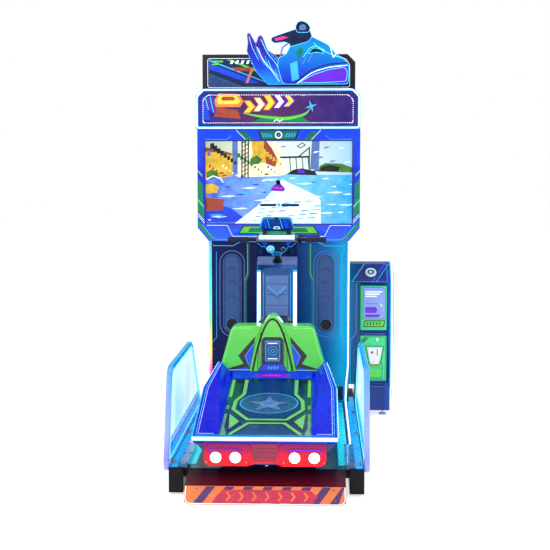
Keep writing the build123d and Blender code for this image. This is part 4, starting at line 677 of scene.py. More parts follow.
def floor_glow():
    """Acrylic light strips let into the floor beside the hull."""
    sea = surface("edge_lit_acrylic_sea_green", "#18C8CC", 0.25, "#0C98C0", glow=0.8, patch=260, relief=0.05,
        blend=("Y", -1000, 700, [(0.0, "#10B0B4"), (0.5, "#1CD2D0"), (1.0, "#0890C4")]))
    strips = Piece("floor_light_strips")
    floor = facing((0, 0, span("base_deck")[1].z), (1, 0, 0), (0, 1, 0))
    for side in (-1, 1):
        u0, u1 = sorted((side * 366, side * 416))
        strips.plate(oblong(u0, u1, -930, 700, 6, 3), sea, floor, -0.4, 4.0, 2.0, 3)
    strips.done("base", "light_white")


def light_path(side):
    """Middle line of a corner light: along the rail, round a bend and up the cabinet's corner."""
    low, high = span("edge_lights")
    x0, x1 = side * 435.0, side * (high.x - 9.0)
    y = high.y - 10.0
    run = [(x0, low.y + 440, 149), (x0, y - 190, 149), (x0, y, 149), (x1, y, 320), (x1, y, high.z)]
    return rounded(run, 75.0, 8, closed=False)


def edge_lights():
    section = oblong(-9, 9, -7, 8, 5.0, 4)
    core = oblong(-4, 4, 4, 10, 2.5, 3)
    right = Piece("corner_light_right")
    right.swept(light_path(1), section, led_halo, up=(0.03, -0.05, 1))
    right.swept(light_path(1), core, led_white, up=(0.03, -0.05, 1))
    right.done("base", "light_white", ("edge_lights",))
    left = Piece("corner_light_left")
    left.swept(light_path(-1), section, led_rainbow, up=(0.03, -0.05, 1))
    left.done("base", "light_white", ("edge_lights",))


# ---- cabinet ----
def lower_cabinet():
    softened("cabinet_sides", "base", navy_film, 2.0)
    dress("cabinet_front", front_film_painted_light_spill)
    dress("cabinet_shelves", navy_film)
    low = span("cabinet_front")[0]
    wall = towards_rider(low.y)
    ring_low, ring_high = span("ring_lights")
    height = ring_high.z - ring_low.z
    middle, centre, foot = (ring_low.z + ring_high.z) / 2, 305.0, ring_low.z + 84.0
    front = Piece("cabinet_front_trim")
    speaker = Piece("loudspeakers")
    flat, stroke = front.on(wall)
    for side in (-1, 1):
        u = side * centre
        for grow, width, finish in ((0, 7, led_soft), (-22, 4, ink_haze)):
            outline = stadium(u, middle, 160 + 2 * grow, height - 8 + 2 * grow)
            front.swept([(p.x, low.y - 3.5, p.y) for p in outline], ring(0, 0, width / 2, 8), finish, closed=True,
                up=(0, -1, 0))
        front.plate(stadium(u, middle, 104, height - 64), ink_slate, wall, -0.5, 4.0, 2.0, 3)
        stroke(ink_navy, 3.0, 4.4, stadium(u, middle, 92, height - 76), True)
        for v in (middle + 150, middle + 60, middle - 30):
            stroke(ink_navy, 5.0, 4.4, [(u - 30, v), (u, v + 22), (u + 30, v)])
        for k, finish in enumerate((ink_lime, ink_teal)):
            x = side * (222 - k * 9)
            stroke(finish, 4.0, 0.4, [(x, 500), (x, 930), (side * (205 - k * 9), 980), (side * (205 - k * 9), 1175)])
        stroke(ink_sky, 5.0, 0.4, strip(1186, side * 60, side * 250, 1160, side * 300, side * 430))
        stroke(ink_sky, 3.0, 0.4, [(side * 440, 200), (side * 440, 520), (side * 408, 560), (side * 408, 1120)])
        flat(ink_navy, 0.4, strip(150, side * 250, side * 420, 240, side * 420, side * 330))
        dish = [(34, 5), (33, 3), (30, 2), (12, -9), (0, -9)]
        speaker.turned(dish, dark_plastic, wall, (u, foot), 40)
        speaker.turned([(46, -4), (46, 6), (43, 9.5), (37, 10.5), (34, 7), (33.5, -4)], ink_slate, wall, (u, foot),
            40)
        speaker.turned([(41.5, 9), (41, 11), (39, 11), (38.5, 9)], ink_haze, wall, (u, foot), 40)
        speaker.turned([(32, 3.5), (31, 5), (25, 3.4), (10, -6), (0, -6)], cone_paper, wall, (u, foot), 40)
        speaker.turned([(11, -7), (10.5, -1), (7, 3), (0, 4.6)], dark_plastic, wall, (u, foot), 24)
        back = from_behind(low.y)
        speaker.turned([(0, 0), (45, 0), (45, 4), (34, 26), (31, 30), (31, 58), (28, 62), (0, 62)], grey_case, back,
            (-u, foot), 32)
    front.done("base", "light_white", ("ring_lights",))
    speaker.done("base", "speaker_black", ("speakers",))
    spots, holes = [], []
    for side in (-1, 1):
        for k in range(6):
            a = pi / 6 + pi * k / 3
            spots.append(((side * centre + 40 * cos(a), low.y - 10.5, foot + 40 * sin(a)), NEAR))
        for z in (190, 480, 1170):
            spots.append(((side * 425, low.y - 0.5, z), NEAR))
    socket_screws("speaker_screws", "base", spots, 3.0)
    for side in (-1, 1):
        for row in range(-6, 7):
            for column in range(-6, 7):
                x, z = column * 5.2 + (row % 2) * 2.6, row * 4.5
                if x * x + z * z < 27 * 27:
                    holes.append(((side * centre + x, low.y - 5.2, foot + z), NEAR))
    mesh_plate = Piece("speaker_grilles")
    for side in (-1, 1):
        mesh_plate.turned([(0, 4.6), (32.5, 4.6), (33.5, 5.4), (32.5, 6.4), (0, 5.2)], dark_plastic, wall,
            (side * centre, foot), 40)
    mesh_plate.done("base", "speaker_black")
    repeated("speaker_grille_holes", "base", holes, hole_dark, hexagon_socket, "speaker_black", radius=0.0018,
        height=0.0006)


def screen_housing():
    softened("screen_housing", "base", blue_film, 3.0)
    dress("bezel_panel", bezel_print)
    dress("monitor", dark_plastic)
    low, high = span("bezel_panel")
    glass_low, glass_high = span("screen_glass")
    w, y = high.x, low.y
    face = towards_rider(y)
    x1, z0, z1 = w - 49.5, glass_low.z + 12, glass_high.z - 12
    art = Piece("bezel_art")
    flat, stroke = art.on(face)
    for side in (-1, 1):
        at = outwards(side)
        flat(ink_teal, 0.4, at((w - 34, 1560), (w - 1, 1600), (w - 1, 1470), (w - 34, 1432)),
            at((w - 42, 1400), (w - 1, 1448), (w - 1, 1382), (w - 42, 1334)), at((w - 48, 1282), (w - 1, 1330),
            (w - 1, 1300), (w - 70, 1218), (w - 96, 1197), (w - 122, 1197)))
        flat(ink_lime, 0.5, at((w - 40, 1424), (w - 1, 1468), (w - 1, 1452), (w - 40, 1406)),
            at((w - 30, 1620), (w - 1, 1652), (w - 1, 1640), (w - 30, 1606)))
        flat(ink_blue, 0.5, at((w - 20, 1800), (w - 1, 1822), (w - 1, 1690), (w - 20, 1668)))
        stroke(ink_white, 3.0, 0.7, at((w - 44, 1325), (w - 2, 1372)))
        stroke(ink_white, 3.0, 0.7, at((w - 44, 1310), (w - 2, 1357)))
        stroke(ink_white, 3.0, 0.7, at((x1 - 8, z0 - 10), (330, z0 - 10), (295, 1226), (118, 1226)))
        stroke(ink_sky, 3.5, 0.7, at((x1 + 20, 1300), (x1 - 40, 1222), (x1 - 70, 1204), (300, 1204)))
        stroke(ink_white, 3.0, 0.7, at((210, z1 + 8), (270, 1903)))
        stroke(ink_sky, 3.0, 0.7, at((x1 - 4, z1 + 10), (330, z1 + 10), (300, z1 + 34)))
        flat(ink_teal, 0.5, at((160, z1 + 4), (212, z1 + 60), (268, z1 + 60), (216, z1 + 4)))
    flat(ink_black, 0.6, strip(1903, -134, 134, z1 + 8, 112, -112))
    flat(ink_teal, 0.8, strip(1899, -124, 124, z1 + 13, 104, -104))
    for side in (-1, 1):
        for k in range(4):
            u = side * (44 + k * 17)
            flat(ink_sky, 1.0, strip(z1 + 24, u - 4, u + 4, 1884, u + 4 + side * 12, u - 4 + side * 12))
    art.turned([(24, 0), (24, 4), (21, 6), (17, 6.5), (15, 4), (15, 0.5)], ink_white, face, (0, z1 + 38), 32)
    art.turned([(16, 0.5), (16, 3.2), (0, 5.5)], dark_plastic, face, (0, z1 + 38), 32)
    art.turned([(6, 3.5), (5, 6.2), (0, 7.0)], ink_sky, face, (0, z1 + 38), 20)
    flat(ink_black, 0.6, strip(1243, -262, 262, 1292, 228, -228))
    flat(ink_lime, 0.9, strip(1247, -250, 250, 1288, 222, -222))
    flat(ink_teal, 1.2, strip(1254, -196, -60, 1280, -60, -182), strip(1254, 60, 190, 1280, 176, 60))
    stroke(ink_black, 5.0, 0.6, oblong(-x1 - 1, x1 + 1, z0 - 1, z1 + 1), True)
    art.done("base", "bezel_print")
    sides = Piece("housing_side_art")
    far = span("screen_housing")[1].y
    for side in (-1, 1):
        wall = flank(side, w)
        for k, finish in enumerate((ink_teal, ink_lime, ink_navy, ink_sky)):
            a, wide = 1330 + (0, 96, 126, 236)[k], (80, 16, 92, 10)[k]
            outline = [(side * (y + 20), a), (side * (far - 30), a + 250), (side * (far - 30), a + 250 + wide),
                (side * (y + 20), a + wide)]
            sides.prints([outline], finish, wall)
        sides.line(oblong(side * (y + 26), side * (far - 24), 1886, 1310), 4.0, ink_sky, wall, 0.6, True)
    sides.done("base", "print_blue")
    picture()


def picture():
    """The lit display: a harbour in flat shapes, with water, a crane, a wake and a small craft."""
    low, high = span("screen_glass")
    face = towards_rider(low.y)
    lit = Piece("screen_picture")
    w, bottom, top = high.x, low.z, high.z
    sky = surface("lit_display_sky", "#C9D2B8", 0.12, "#9CB8C4", glow=0.6, patch=130, relief=0.0,
        blend=("X", -470, 470, [(0.0, "#9FB08C"), (0.35, "#D8DCBC"), (0.7, "#C4D2CC"), (1.0, "#8FBAD4")]))
    water = surface("lit_display_water", "#46A4E4", 0.12, "#A8DCF4", glow=0.62, patch=46, relief=0.0,
        blend=("X", -470, 470, [(0.0, "#2C44B4"), (0.35, "#5C84D8"), (0.6, "#64B0E0"), (1.0, "#0890E8")]))
    gold = surface("lit_display_gold", "#DCB03A", 0.12, "#8C7A2C", glow=0.5, patch=34, relief=0.0)
    foam = surface("lit_display_foam", "#DCEEF4", 0.12, "#9CCCE8", glow=0.7, patch=60, relief=0.0)
    iron = surface("lit_display_iron", "#1E2626", 0.12, "#3A3440", glow=0.1, patch=50, relief=0.0)
    leaf = surface("lit_display_leaf", "#4C7C30", 0.12, "#264C28", glow=0.35, patch=26, relief=0.0)
    stone = surface("lit_display_stone", "#F0E8C0", 0.12, "#C4B488", glow=0.65, patch=30, relief=0.0)
    lit.plate(oblong(-w, w, bottom, top), sky, face, -5.0, 0.0)
    flat, stroke = lit.on(face)
    flat(water, 0.3, [(-w, bottom), (w, bottom), (w, 1618), (-w, 1630)])
    flat(gold, 0.5, [(-w, 1590), (-296, 1610), (-296, 1742), (-380, 1762), (-w, 1768)])
    flat(ink_rust, 0.7, [(-w, 1768), (-380, 1762), (-300, 1742), (-300, 1756), (-390, 1782), (-w, 1796)])
    flat(gold, 0.5, [(-172, 1700), (-60, 1690), (-78, 1800), (-96, top), (-170, top)])
    flat(stone, 0.7, [(-262, 1604), (8, 1612), (4, 1668), (-130, 1684), (-262, 1680)])
    flat(leaf, 0.9, [(-184, 1684), (-128, 1688), (-104, 1716), (-140, 1744), (-180, 1722)],
        [(-462, 1592), (-380, 1600), (-392, 1640), (-430, 1652), (-462, 1636)])
    flat(ink_rust, 0.6, [(-78, 1690), (-20, 1668), (-8, 1720), (-44, 1790), (-90, top), (-96, 1800)])
    for x in (-236, -216, -196):
        stroke(iron, 8.0, 1.0, [(x, 1596), (x + 3, top)])
    for k in range(9):
        z = 1612 + k * 26
        stroke(iron, 5.0, 1.1, [(-238, z), (-192, z + 22)])
    stroke(iron, 11.0, 1.0, [(8, 1730), (200, 1734)])
    for x in (70, 110, 150, 188):
        stroke(iron, 5.0, 1.0, [(x, 1730), (x + 8, 1640)])
    stroke(iron, 7.0, 1.1, [(130, 1736), (196, 1792), (196, 1640)])
    stroke(iron, 5.0, 1.1, [(120, 1800), (150, 1822), (170, 1808), (140, 1790)], True)
    flat(iron, 1.0, [(50, 1622), (246, 1616), (232, 1642), (150, 1660), (96, 1652)])
    flat(ink_violet, 1.2, [(118, 1632), (170, 1630), (160, 1650), (126, 1652)])
    flat(leaf, 0.6, [(254, 1640), (w, 1634), (w, 1662), (400, 1690), (300, 1694), (262, 1676)])
    flat(iron, 0.8, [(262, 1644), (380, 1640), (392, 1668), (320, 1684), (272, 1668)])
    flat(foam, 0.9, [(22, 1590), (250, 1482), (268, 1456), (272, bottom), (-300, bottom), (-110, 1440)])
    flat(ink_blue, 0.5, [(-w, 1470), (-300, 1400), (-190, 1318), (-w, 1316)])
    for k in range(14):
        u = -440 + (k * 137) % 900
        v = 1350 + (k * 53) % 240
        flat(foam, 0.6, [(u, v), (u + 70, v + 7), (u + 110, v + 2), (u + 60, v - 5)])
    for k in range(8):
        u = -450 + (k * 211) % 860
        v = 1362 + (k * 71) % 210
        flat(ink_sky, 0.75, [(u, v), (u + 54, v + 6), (u + 96, v), (u + 50, v - 7)])
    craft = [(-50, 1518), (30, 1512), (44, 1530), (20, 1556), (-20, 1560), (-44, 1542)]
    flat(ink_violet, 1.3, craft)
    flat(ink_magenta, 1.5, [(-44, 1534), (22, 1526), (30, 1536), (-34, 1546)])
    flat(iron, 1.5, ring(-4, 1574, 14, 16), strip(1552, -14, 16, 1576, 10, -12))
    flat(ink_rust, 1.2, [(-w, 1388), (-358, 1392), (-352, 1462), (-w, 1476)])
    flat(gold, 1.2, [(-w, 1498), (-396, 1504), (-382, 1540), (-420, 1562), (-w, 1556)])
    stroke(foam, 7.0, 1.3, [(-464, 1590), (-420, 1612), (-372, 1596), (-356, 1570)])
    flat(ink_navy, 1.4, oblong(-118, -16, 1418, 1434, 5), oblong(18, 132, 1418, 1434, 5))
    flat(ink_sky, 1.4, ring(2, 1426, 11, 20))
    for k in range(26):
        u, v = -170 + (k * 83) % 400, 1322 + (k * 31) % 130
        flat((ink_sky, water, ink_haze)[k % 3], 1.1, [(u, v), (u + 30 + k % 5 * 8, v + 4), (u + 52, v + 9),
            (u + 14, v + 8)])
    flat(stone, 0.52, [(-8, 1612), (-30, 1700), (-70, 1790), (-60, top), (-20, top), (20, 1760), (40, 1620)])
    flat(ink_haze, 0.45, [(200, 1640), (214, top), (262, top), (256, 1640)])
    flat(ink_haze, 0.42, [(-300, 1628), (-296, top), (-262, top), (-262, 1628)])
    for k in range(54):
        u, v = -462 + (k * 97) % 560, 1606 + (k * 61) % 190
        wide, tall = 10 + (k * 7) % 22, 8 + (k * 11) % 34
        shade = (iron, stone, leaf, gold, ink_haze, ink_rust)[k % 6]
        if u < 20:
            flat(shade, 0.8, [(u, v), (u + wide, v + 3), (u + wide - 3, v + tall), (u + 2, v + tall - 4)])
    for k in range(40):
        u, v = -455 + (k * 173) % 900, 1330 + (k * 89) % 280
        if not (-250 < u < 262 and v < 1480):
            wide = 14 + (k * 5) % 34
            shade = (foam, ink_sky, ink_blue, foam, ink_haze)[k % 5]
            flat(shade, 0.85, [(u, v), (u + wide, v + 5), (u + wide * 1.5, v + 1), (u + wide * 0.8, v - 5)])
    for k in range(12):
        u, v = 190 + (k * 67) % 240, 1640 + (k * 29) % 150
        flat((sky, foam, ink_haze)[k % 3], 0.55, [(u, v), (u + 26, v + 4), (u + 44, v + 14), (u + 12, v + 12)])
    lit.done("base", "screen_picture", ("screen_glass",))


def marquee():
    softened("marquee_box", "base", blue_film, 3.0)
    softened("marquee_light", "base", led_halo, 6.0, 4)
    low, high = span("marquee_light")
    core = Piece("marquee_light_core")
    a, b, c, d = low.x + 7, high.x - 7, low.z + 7, high.z - 7
    loop = rounded([(a, c), (b, c), (b, d - 42), (b - 42, d), (a + 42, d), (a, d - 42)], 16, 4)
    core.swept([(p.x, low.y + 1.0, p.y) for p in loop], ring(0, 0, 3.4, 10), led_white, closed=True, up=(0, -1, 0))
    core.done("base", "light_white")
    low, high = span("marquee_panel")
    face = towards_rider(low.y)
    w, z0, z1 = high.x, low.z, high.z
    paint = surface("backlit_print_blue_to_plum", "#2A2F9C", 0.14, "#6A3A9C", coat=0.2, glow=0.45, patch=90,
        relief=0.02, blend=("X", -500, 500, [(0.0, "#08248C"), (0.14, "#281C5C"), (0.42, "#4C2240"), (0.7, "#301858"),
        (1.0, "#1C1468")]))
    dress("marquee_panel", paint)
    art = Piece("marquee_art")
    loop = rounded([(-w + 22, z0 + 20), (w - 22, z0 + 20), (w - 22, z1 - 52), (w - 54, z1 - 22), (-w + 54, z1 - 22),
        (-w + 22, z1 - 52)], 14, 4)
    flat, stroke = art.on(face)
    flat(ink_blue, 0.4, [(-w + 26, z0 + 40), (-w + 78, z0 + 40), (-w + 40, z1 - 62), (-w + 26, z1 - 70)])
    for k in range(5):
        u = -w + 44 + k * 16
        flat(ink_sky if k % 2 else ink_violet, 0.6, strip(z0 + 110 - k * 8, u, u + 8, z1 - 34, u - 14, u - 22))
    flat(ink_orange, 0.6, [(-390, 2042), (-236, 2042), (-214, 2078), (-246, 2122), (-372, 2126), (-398, 2084)])
    flat(ink_yellow, 0.9, [(-376, 2060), (-250, 2060), (-232, 2080), (-258, 2108), (-366, 2112), (-382, 2084)])
    flat(ink_rust, 1.1, [(-350, 2082), (-276, 2082), (-266, 2096), (-282, 2106), (-346, 2106), (-356, 2094)])
    flat(ink_rust, 0.5, [(-400, z0 + 60), (-232, z0 + 46), (-250, z0 + 100), (-386, z0 + 122)])
    for k in range(5):
        u, tall = -210 + k * 62.0, (66, 76, 82, 76, 66)[k]
        v = 2010 + k * 9.0
        arrow = [(u, v), (u + 30, v), (u + 62, v + tall / 2), (u + 34, v + tall), (u + 4, v + tall),
            (u + 32, v + tall / 2)]
        grown = [(u - 7, v - 6), (u + 33, v - 6), (u + 72, v + tall / 2), (u + 38, v + tall + 6),
            (u - 4, v + tall + 6), (u + 23, v + tall / 2)]
        flat(ink_violet if k > 2 else ink_orange, 0.8, grown)
        flat(ink_cream if k % 2 else ink_yellow, 1.3, arrow)
    swoosh = rounded([(-248, 2010), (-120, 1976), (60, 1956), (180, 1990), (214, 2050), (176, 2004), (60, 1976),
        (-110, 1990)], 60, 8)
    flat(ink_lime, 1.0, swoosh)
    star = []
    for k in range(8):
        r = 40 if k % 2 == 0 else 10
        star.append((208 + r * cos(pi / 4 * k + 0.3), 2046 + r * sin(pi / 4 * k + 0.3)))
    flat(ink_sky, 1.5, star)
    for k, finish in enumerate((ink_teal, ink_magenta, ink_yellow, ink_teal, ink_sky)):
        u = -140 + k * 72
        flat(finish, 0.5, strip(2110, u, u + 26, z1 - 26, u + 18, u - 6))
    flat(ink_teal, 0.4, [(-160, z0 + 24), (200, z0 + 24), (150, z0 + 60), (-110, z0 + 52)])
    stroke(ink_white, 5.0, 1.3, [(-26, z0 + 30), (-8, z0 + 42), (12, z0 + 30), (32, z0 + 42)])
    art.done("base", "marquee_art")
    dots = []
    for i, point in enumerate(loop):
        nxt = loop[(i + 1) % len(loop)]
        steps = max(1, int((nxt - point).length / 11.0))
        for k in range(steps):
            p = point.lerp(nxt, k / steps) * 0.985 + Vector((0, (z0 + z1) / 2)) * 0.015
            dots.append(((p.x, low.y - 0.6, p.y), NEAR))
    repeated("marquee_light_dots", "base", dots, led_white, domed_head, "light_white", radius=0.0021,
        top_radius=0.0014, height=0.0012)


def topper():
    softened("topper_box", "base", ink_black, 3.0)
    low, high = span("topper_box")
    y, w, z0, z1 = low.y, high.x, low.z, high.z
    face = towards_rider(y)
    art = Piece("topper_panel_art")
    art.plate([(-w + 26, z0 + 12), (w - 26, z0 + 12), (w - 26, z1 - 60), (w - 60, z1 - 18), (-w + 26, z1 - 18)],
        ink_navy, face, -0.5, 1.0, 0.6)
    flat, stroke = art.on(face)
    stroke(ink_white, 3.0, 1.8, rounded([(-w + 34, z0 + 18), (w - 36, z0 + 18), (w - 36, z1 - 64), (w - 66, z1 - 26),
        (-w + 34, z1 - 26)], 14, 4), True)
    left = -w + 42
    flat(panel_gloss, 1.3, strip(z0 + 26, left, 120, z1 - 34, 60, left))
    flat(ink_blue, 1.6, [(left, 2290), (left, 2330), (-110, 2200), (-190, 2200)])
    flat(ink_sky, 1.7, [(left, 2340), (left, 2350), (-60, 2202), (-78, 2202)])
    flat(ink_lime, 1.6, [(-330, z1 - 34), (-300, z1 - 34), (40, 2214), (20, 2206)])
    flat(ink_slate, 1.6, [(left, z0 + 26), (-230, z0 + 26), (left, 2262)])
    flat(ink_rust, 2.0, strip(2300, -300, -160, 2276, -190, -276))
    flat(ink_orange, 2.1, [(-176, 2296), (-156, 2300), (-196, 2200), (-212, 2200)])
    flat(ink_lime, 2.0, oblong(left + 18, left + 90, 2332, 2343, 5), oblong(left + 18, left + 70, 2316, 2323, 3))
    for k in range(5):
        u = -310 + k * 34
        flat(ink_white, 2.0, strip(2322, u, u + 16, 2344, u + 24, u + 8))
    art.done("base", "topper_art")
    for_holes = [((left + 12 + k * 11 + (j % 2) * 5.5, y - 1.9, z0 + 34 + j * 9.0), NEAR) for j in range(7) for k in
        range(int(13 - j * 1.9))]
    repeated("topper_checker_dots", "base", for_holes, ink_black, hexagon_socket, "topper_art", radius=0.003,
        height=0.001)
    rear = [((x, high.y + 0.4, z), FAR) for x in (-450, -150, 150, 450) for z in (z0 + 20, z1 - 70)]
    socket_screws("topper_rear_screws", "base", rear, 4.5)
    cut_out()


def cut_out():
    """Rider on a water scooter with a splash behind, in layers of printed acrylic with lit outlines."""
    low, high = span("topper_craft")
    y = low.y
    board, face = Piece("craft_cut_out"), towards_rider(y)
    cx, z0, h, w = (low.x + high.x) / 2, low.z, high.z - low.z, (high.x - low.x) / 2

    def at(*points):
        return [Vector((cx + a * w, z0 + b * h)) for a, b in points]

    flat, stroke = board.on(face)
    def curve(finish, width, lift, radius, *points):
        stroke(finish, width, lift, rounded(at(*points), radius, 6, False))
    body = at((-0.30, 0.02), (0.97, 0.02), (0.99, 0.30), (0.90, 0.41), (0.74, 0.475), (0.60, 0.62), (0.38, 0.71),
        (0.22, 0.77), (-0.10, 0.70), (-0.24, 0.47), (-0.38, 0.44), (-0.40, 0.30))
    splash = at((-0.58, 0.01), (-0.24, 0.02), (-0.30, 0.30), (-0.44, 0.41), (-0.60, 0.56), (-0.69, 0.76),
        (-0.735, 0.785), (-0.775, 0.76), (-0.82, 0.65), (-0.93, 0.81), (-0.965, 0.82), (-0.995, 0.79), (-0.975, 0.68),
        (-0.995, 0.53), (-0.91, 0.38), (-0.80, 0.20))
    rider = at((-0.16, 0.60), (0.20, 0.68), (0.27, 0.76), (0.22, 0.86), (0.10, 0.885), (-0.06, 0.87), (-0.34, 0.795),
        (-0.51, 0.745), (-0.53, 0.70), (-0.46, 0.655), (-0.26, 0.675), (-0.16, 0.64))
    head = at((-0.02, 0.82), (0.20, 0.82), (0.24, 0.89), (0.18, 0.965), (0.08, 1.0), (-0.01, 0.985), (-0.06, 0.90))
    thick = 12.0
    craft_print = surface("printed_acrylic_cyan", "#0C88D4", 0.16, "#0648B0", coat=0.2, glow=0.42, patch=110,
        relief=0.03, blend=("Z", 2180, 2520, [(0.0, "#1414B0"), (0.3, "#084CC4"), (0.7, "#0488C8"),
        (1.0, "#1048C0")]))
    wave_print = surface("printed_acrylic_wave", "#1440C8", 0.16, "#30189C", coat=0.2, glow=0.42, patch=40,
        relief=0.05, blend=("Z", 2180, 2510, [(0.0, "#0C98E4"), (0.35, "#0C3CC8"), (0.75, "#28188C"),
        (1.0, "#6A1C90")]))
    board.plate(rounded(splash, 10, 3), wave_print, face, -thick, 0.0, 3.0)
    board.plate(rounded(body, 26, 5), craft_print, face, -thick - 0.3, 3.0, 3.0)
    board.plate(rounded(rider, 9, 4), ink_navy, face, -thick, 6.0, 3.0)
    board.plate(rounded(head, 13, 5), ink_navy, face, -thick, 8.0, 4.0, 3)
    board.plate(rounded(at((0.02, 0.855), (0.14, 0.855), (0.16, 0.91), (0.10, 0.95), (0.03, 0.93)), 10, 4), ink_haze,
        face, 7.0, 10.5, 2.0, 2)
    stroke(ink_navy, 3.0, 11.0, at((0.06, 0.885), (0.145, 0.895)))
    belly = at((0.02, 0.045), (0.30, 0.17), (0.62, 0.25), (0.90, 0.28), (0.955, 0.22), (0.93, 0.06), (0.40, 0.04))
    board.plate(rounded(belly, 14, 5), ink_violet, face, 2.6, 5.0, 1.6)
    stroke(led_cyan, 3.0, 5.6, rounded(belly, 14, 5), True)
    stroke(led_cyan, 2.6, 3.6, rounded(body, 26, 5), True)
    curve(ink_navy, 6.0, 3.8, 40, (-0.05, 0.06), (0.25, 0.24), (0.58, 0.33), (0.97, 0.35))
    curve(led_white, 3.0, 5.8, 40, (-0.02, 0.03), (0.27, 0.205), (0.60, 0.285), (0.95, 0.31))
    curve(led_cyan, 3.5, 4.2, 40, (0.30, 0.66), (0.42, 0.56), (0.70, 0.46), (0.86, 0.42))
    curve(led_cyan, 3.5, 4.2, 30, (0.10, 0.44), (0.22, 0.58), (0.34, 0.62), (0.52, 0.54))
    window = at((0.18, 0.49), (0.30, 0.585), (0.44, 0.56), (0.50, 0.49), (0.36, 0.515))
    board.plate(rounded(window, 10, 4), ink_navy, face, 2.6, 5.0, 1.0)
    stroke(led_cyan, 2.5, 5.4, rounded(window, 10, 4), True)
    for k in range(5):
        a = 0.02 + k * 0.055
        stroke(ink_sky if k % 2 else ink_violet, 3.5, 4.4, at((a, 0.30 + k * 0.022), (a + 0.085, 0.415 + k * 0.02)))
    flat(ink_teal, 4.2, at((-0.04, 0.50), (0.05, 0.60), (0.10, 0.54), (0.02, 0.40)))
    flat(ink_sky, 3.8, at((-0.16, 0.34), (-0.02, 0.38), (0.02, 0.10), (-0.12, 0.06)))
    stroke(led_white, 3.0, 4.4, rounded(at((0.62, 0.60), (0.68, 0.42), (0.74, 0.50)), 14, 4, False))
    flat(ink_magenta, 6.8, at((-0.44, 0.69), (-0.30, 0.71), (-0.18, 0.745), (-0.30, 0.765), (-0.46, 0.73)))
    stroke(led_cyan, 2.2, 6.6, rounded(rider, 9, 4), True)
    stroke(led_cyan, 2.2, 8.4, rounded(head, 13, 5), True)
    for k in range(9):
        a, b = -0.93 + k * 0.062, 0.66 - k * 0.055
        stroke((led_cyan, ink_violet, ink_sky)[k % 3], 3.0, 1.0, rounded(at((a - 0.02, b + 0.10 - k * 0.006),
            (a + 0.03, b - 0.06), (a + 0.16, b - 0.26 + k * 0.012)), 30, 5, False))
    curve(led_cyan, 4.0, 1.2, 40, (-0.72, 0.72), (-0.60, 0.50), (-0.42, 0.34), (-0.30, 0.12))
    curve(ink_white, 3.4, 1.2, 40, (-0.80, 0.60), (-0.70, 0.42), (-0.52, 0.24), (-0.36, 0.06))
    stroke(led_halo, 3.0, 1.0, rounded(splash, 10, 3), True)
    back_plate = from_behind(y + thick)
    outer = at((-0.56, 0.03), (0.95, 0.03), (0.96, 0.29), (0.70, 0.46), (0.36, 0.69), (0.0, 0.76), (-0.30, 0.60),
        (-0.36, 0.42), (-0.70, 0.60), (-0.90, 0.50), (-0.78, 0.22))
    board.line([(-p.x, p.y) for p in outer], 9.0, led_soft, back_plate, 2.0, True)
    for x in (-150.0, 150.0):
        board.turned(oblong(0, 8, -1, 59), zinc, back_plate, (-(125.0 + x), 2286.0), 20)
        board.turned([(14, -0.3), (14, 2), (9, 4), (9, -0.3)], zinc, back_plate, (-(125.0 + x), 2286.0), 20)
    board.done("base", "topper_art", ("topper_craft",))


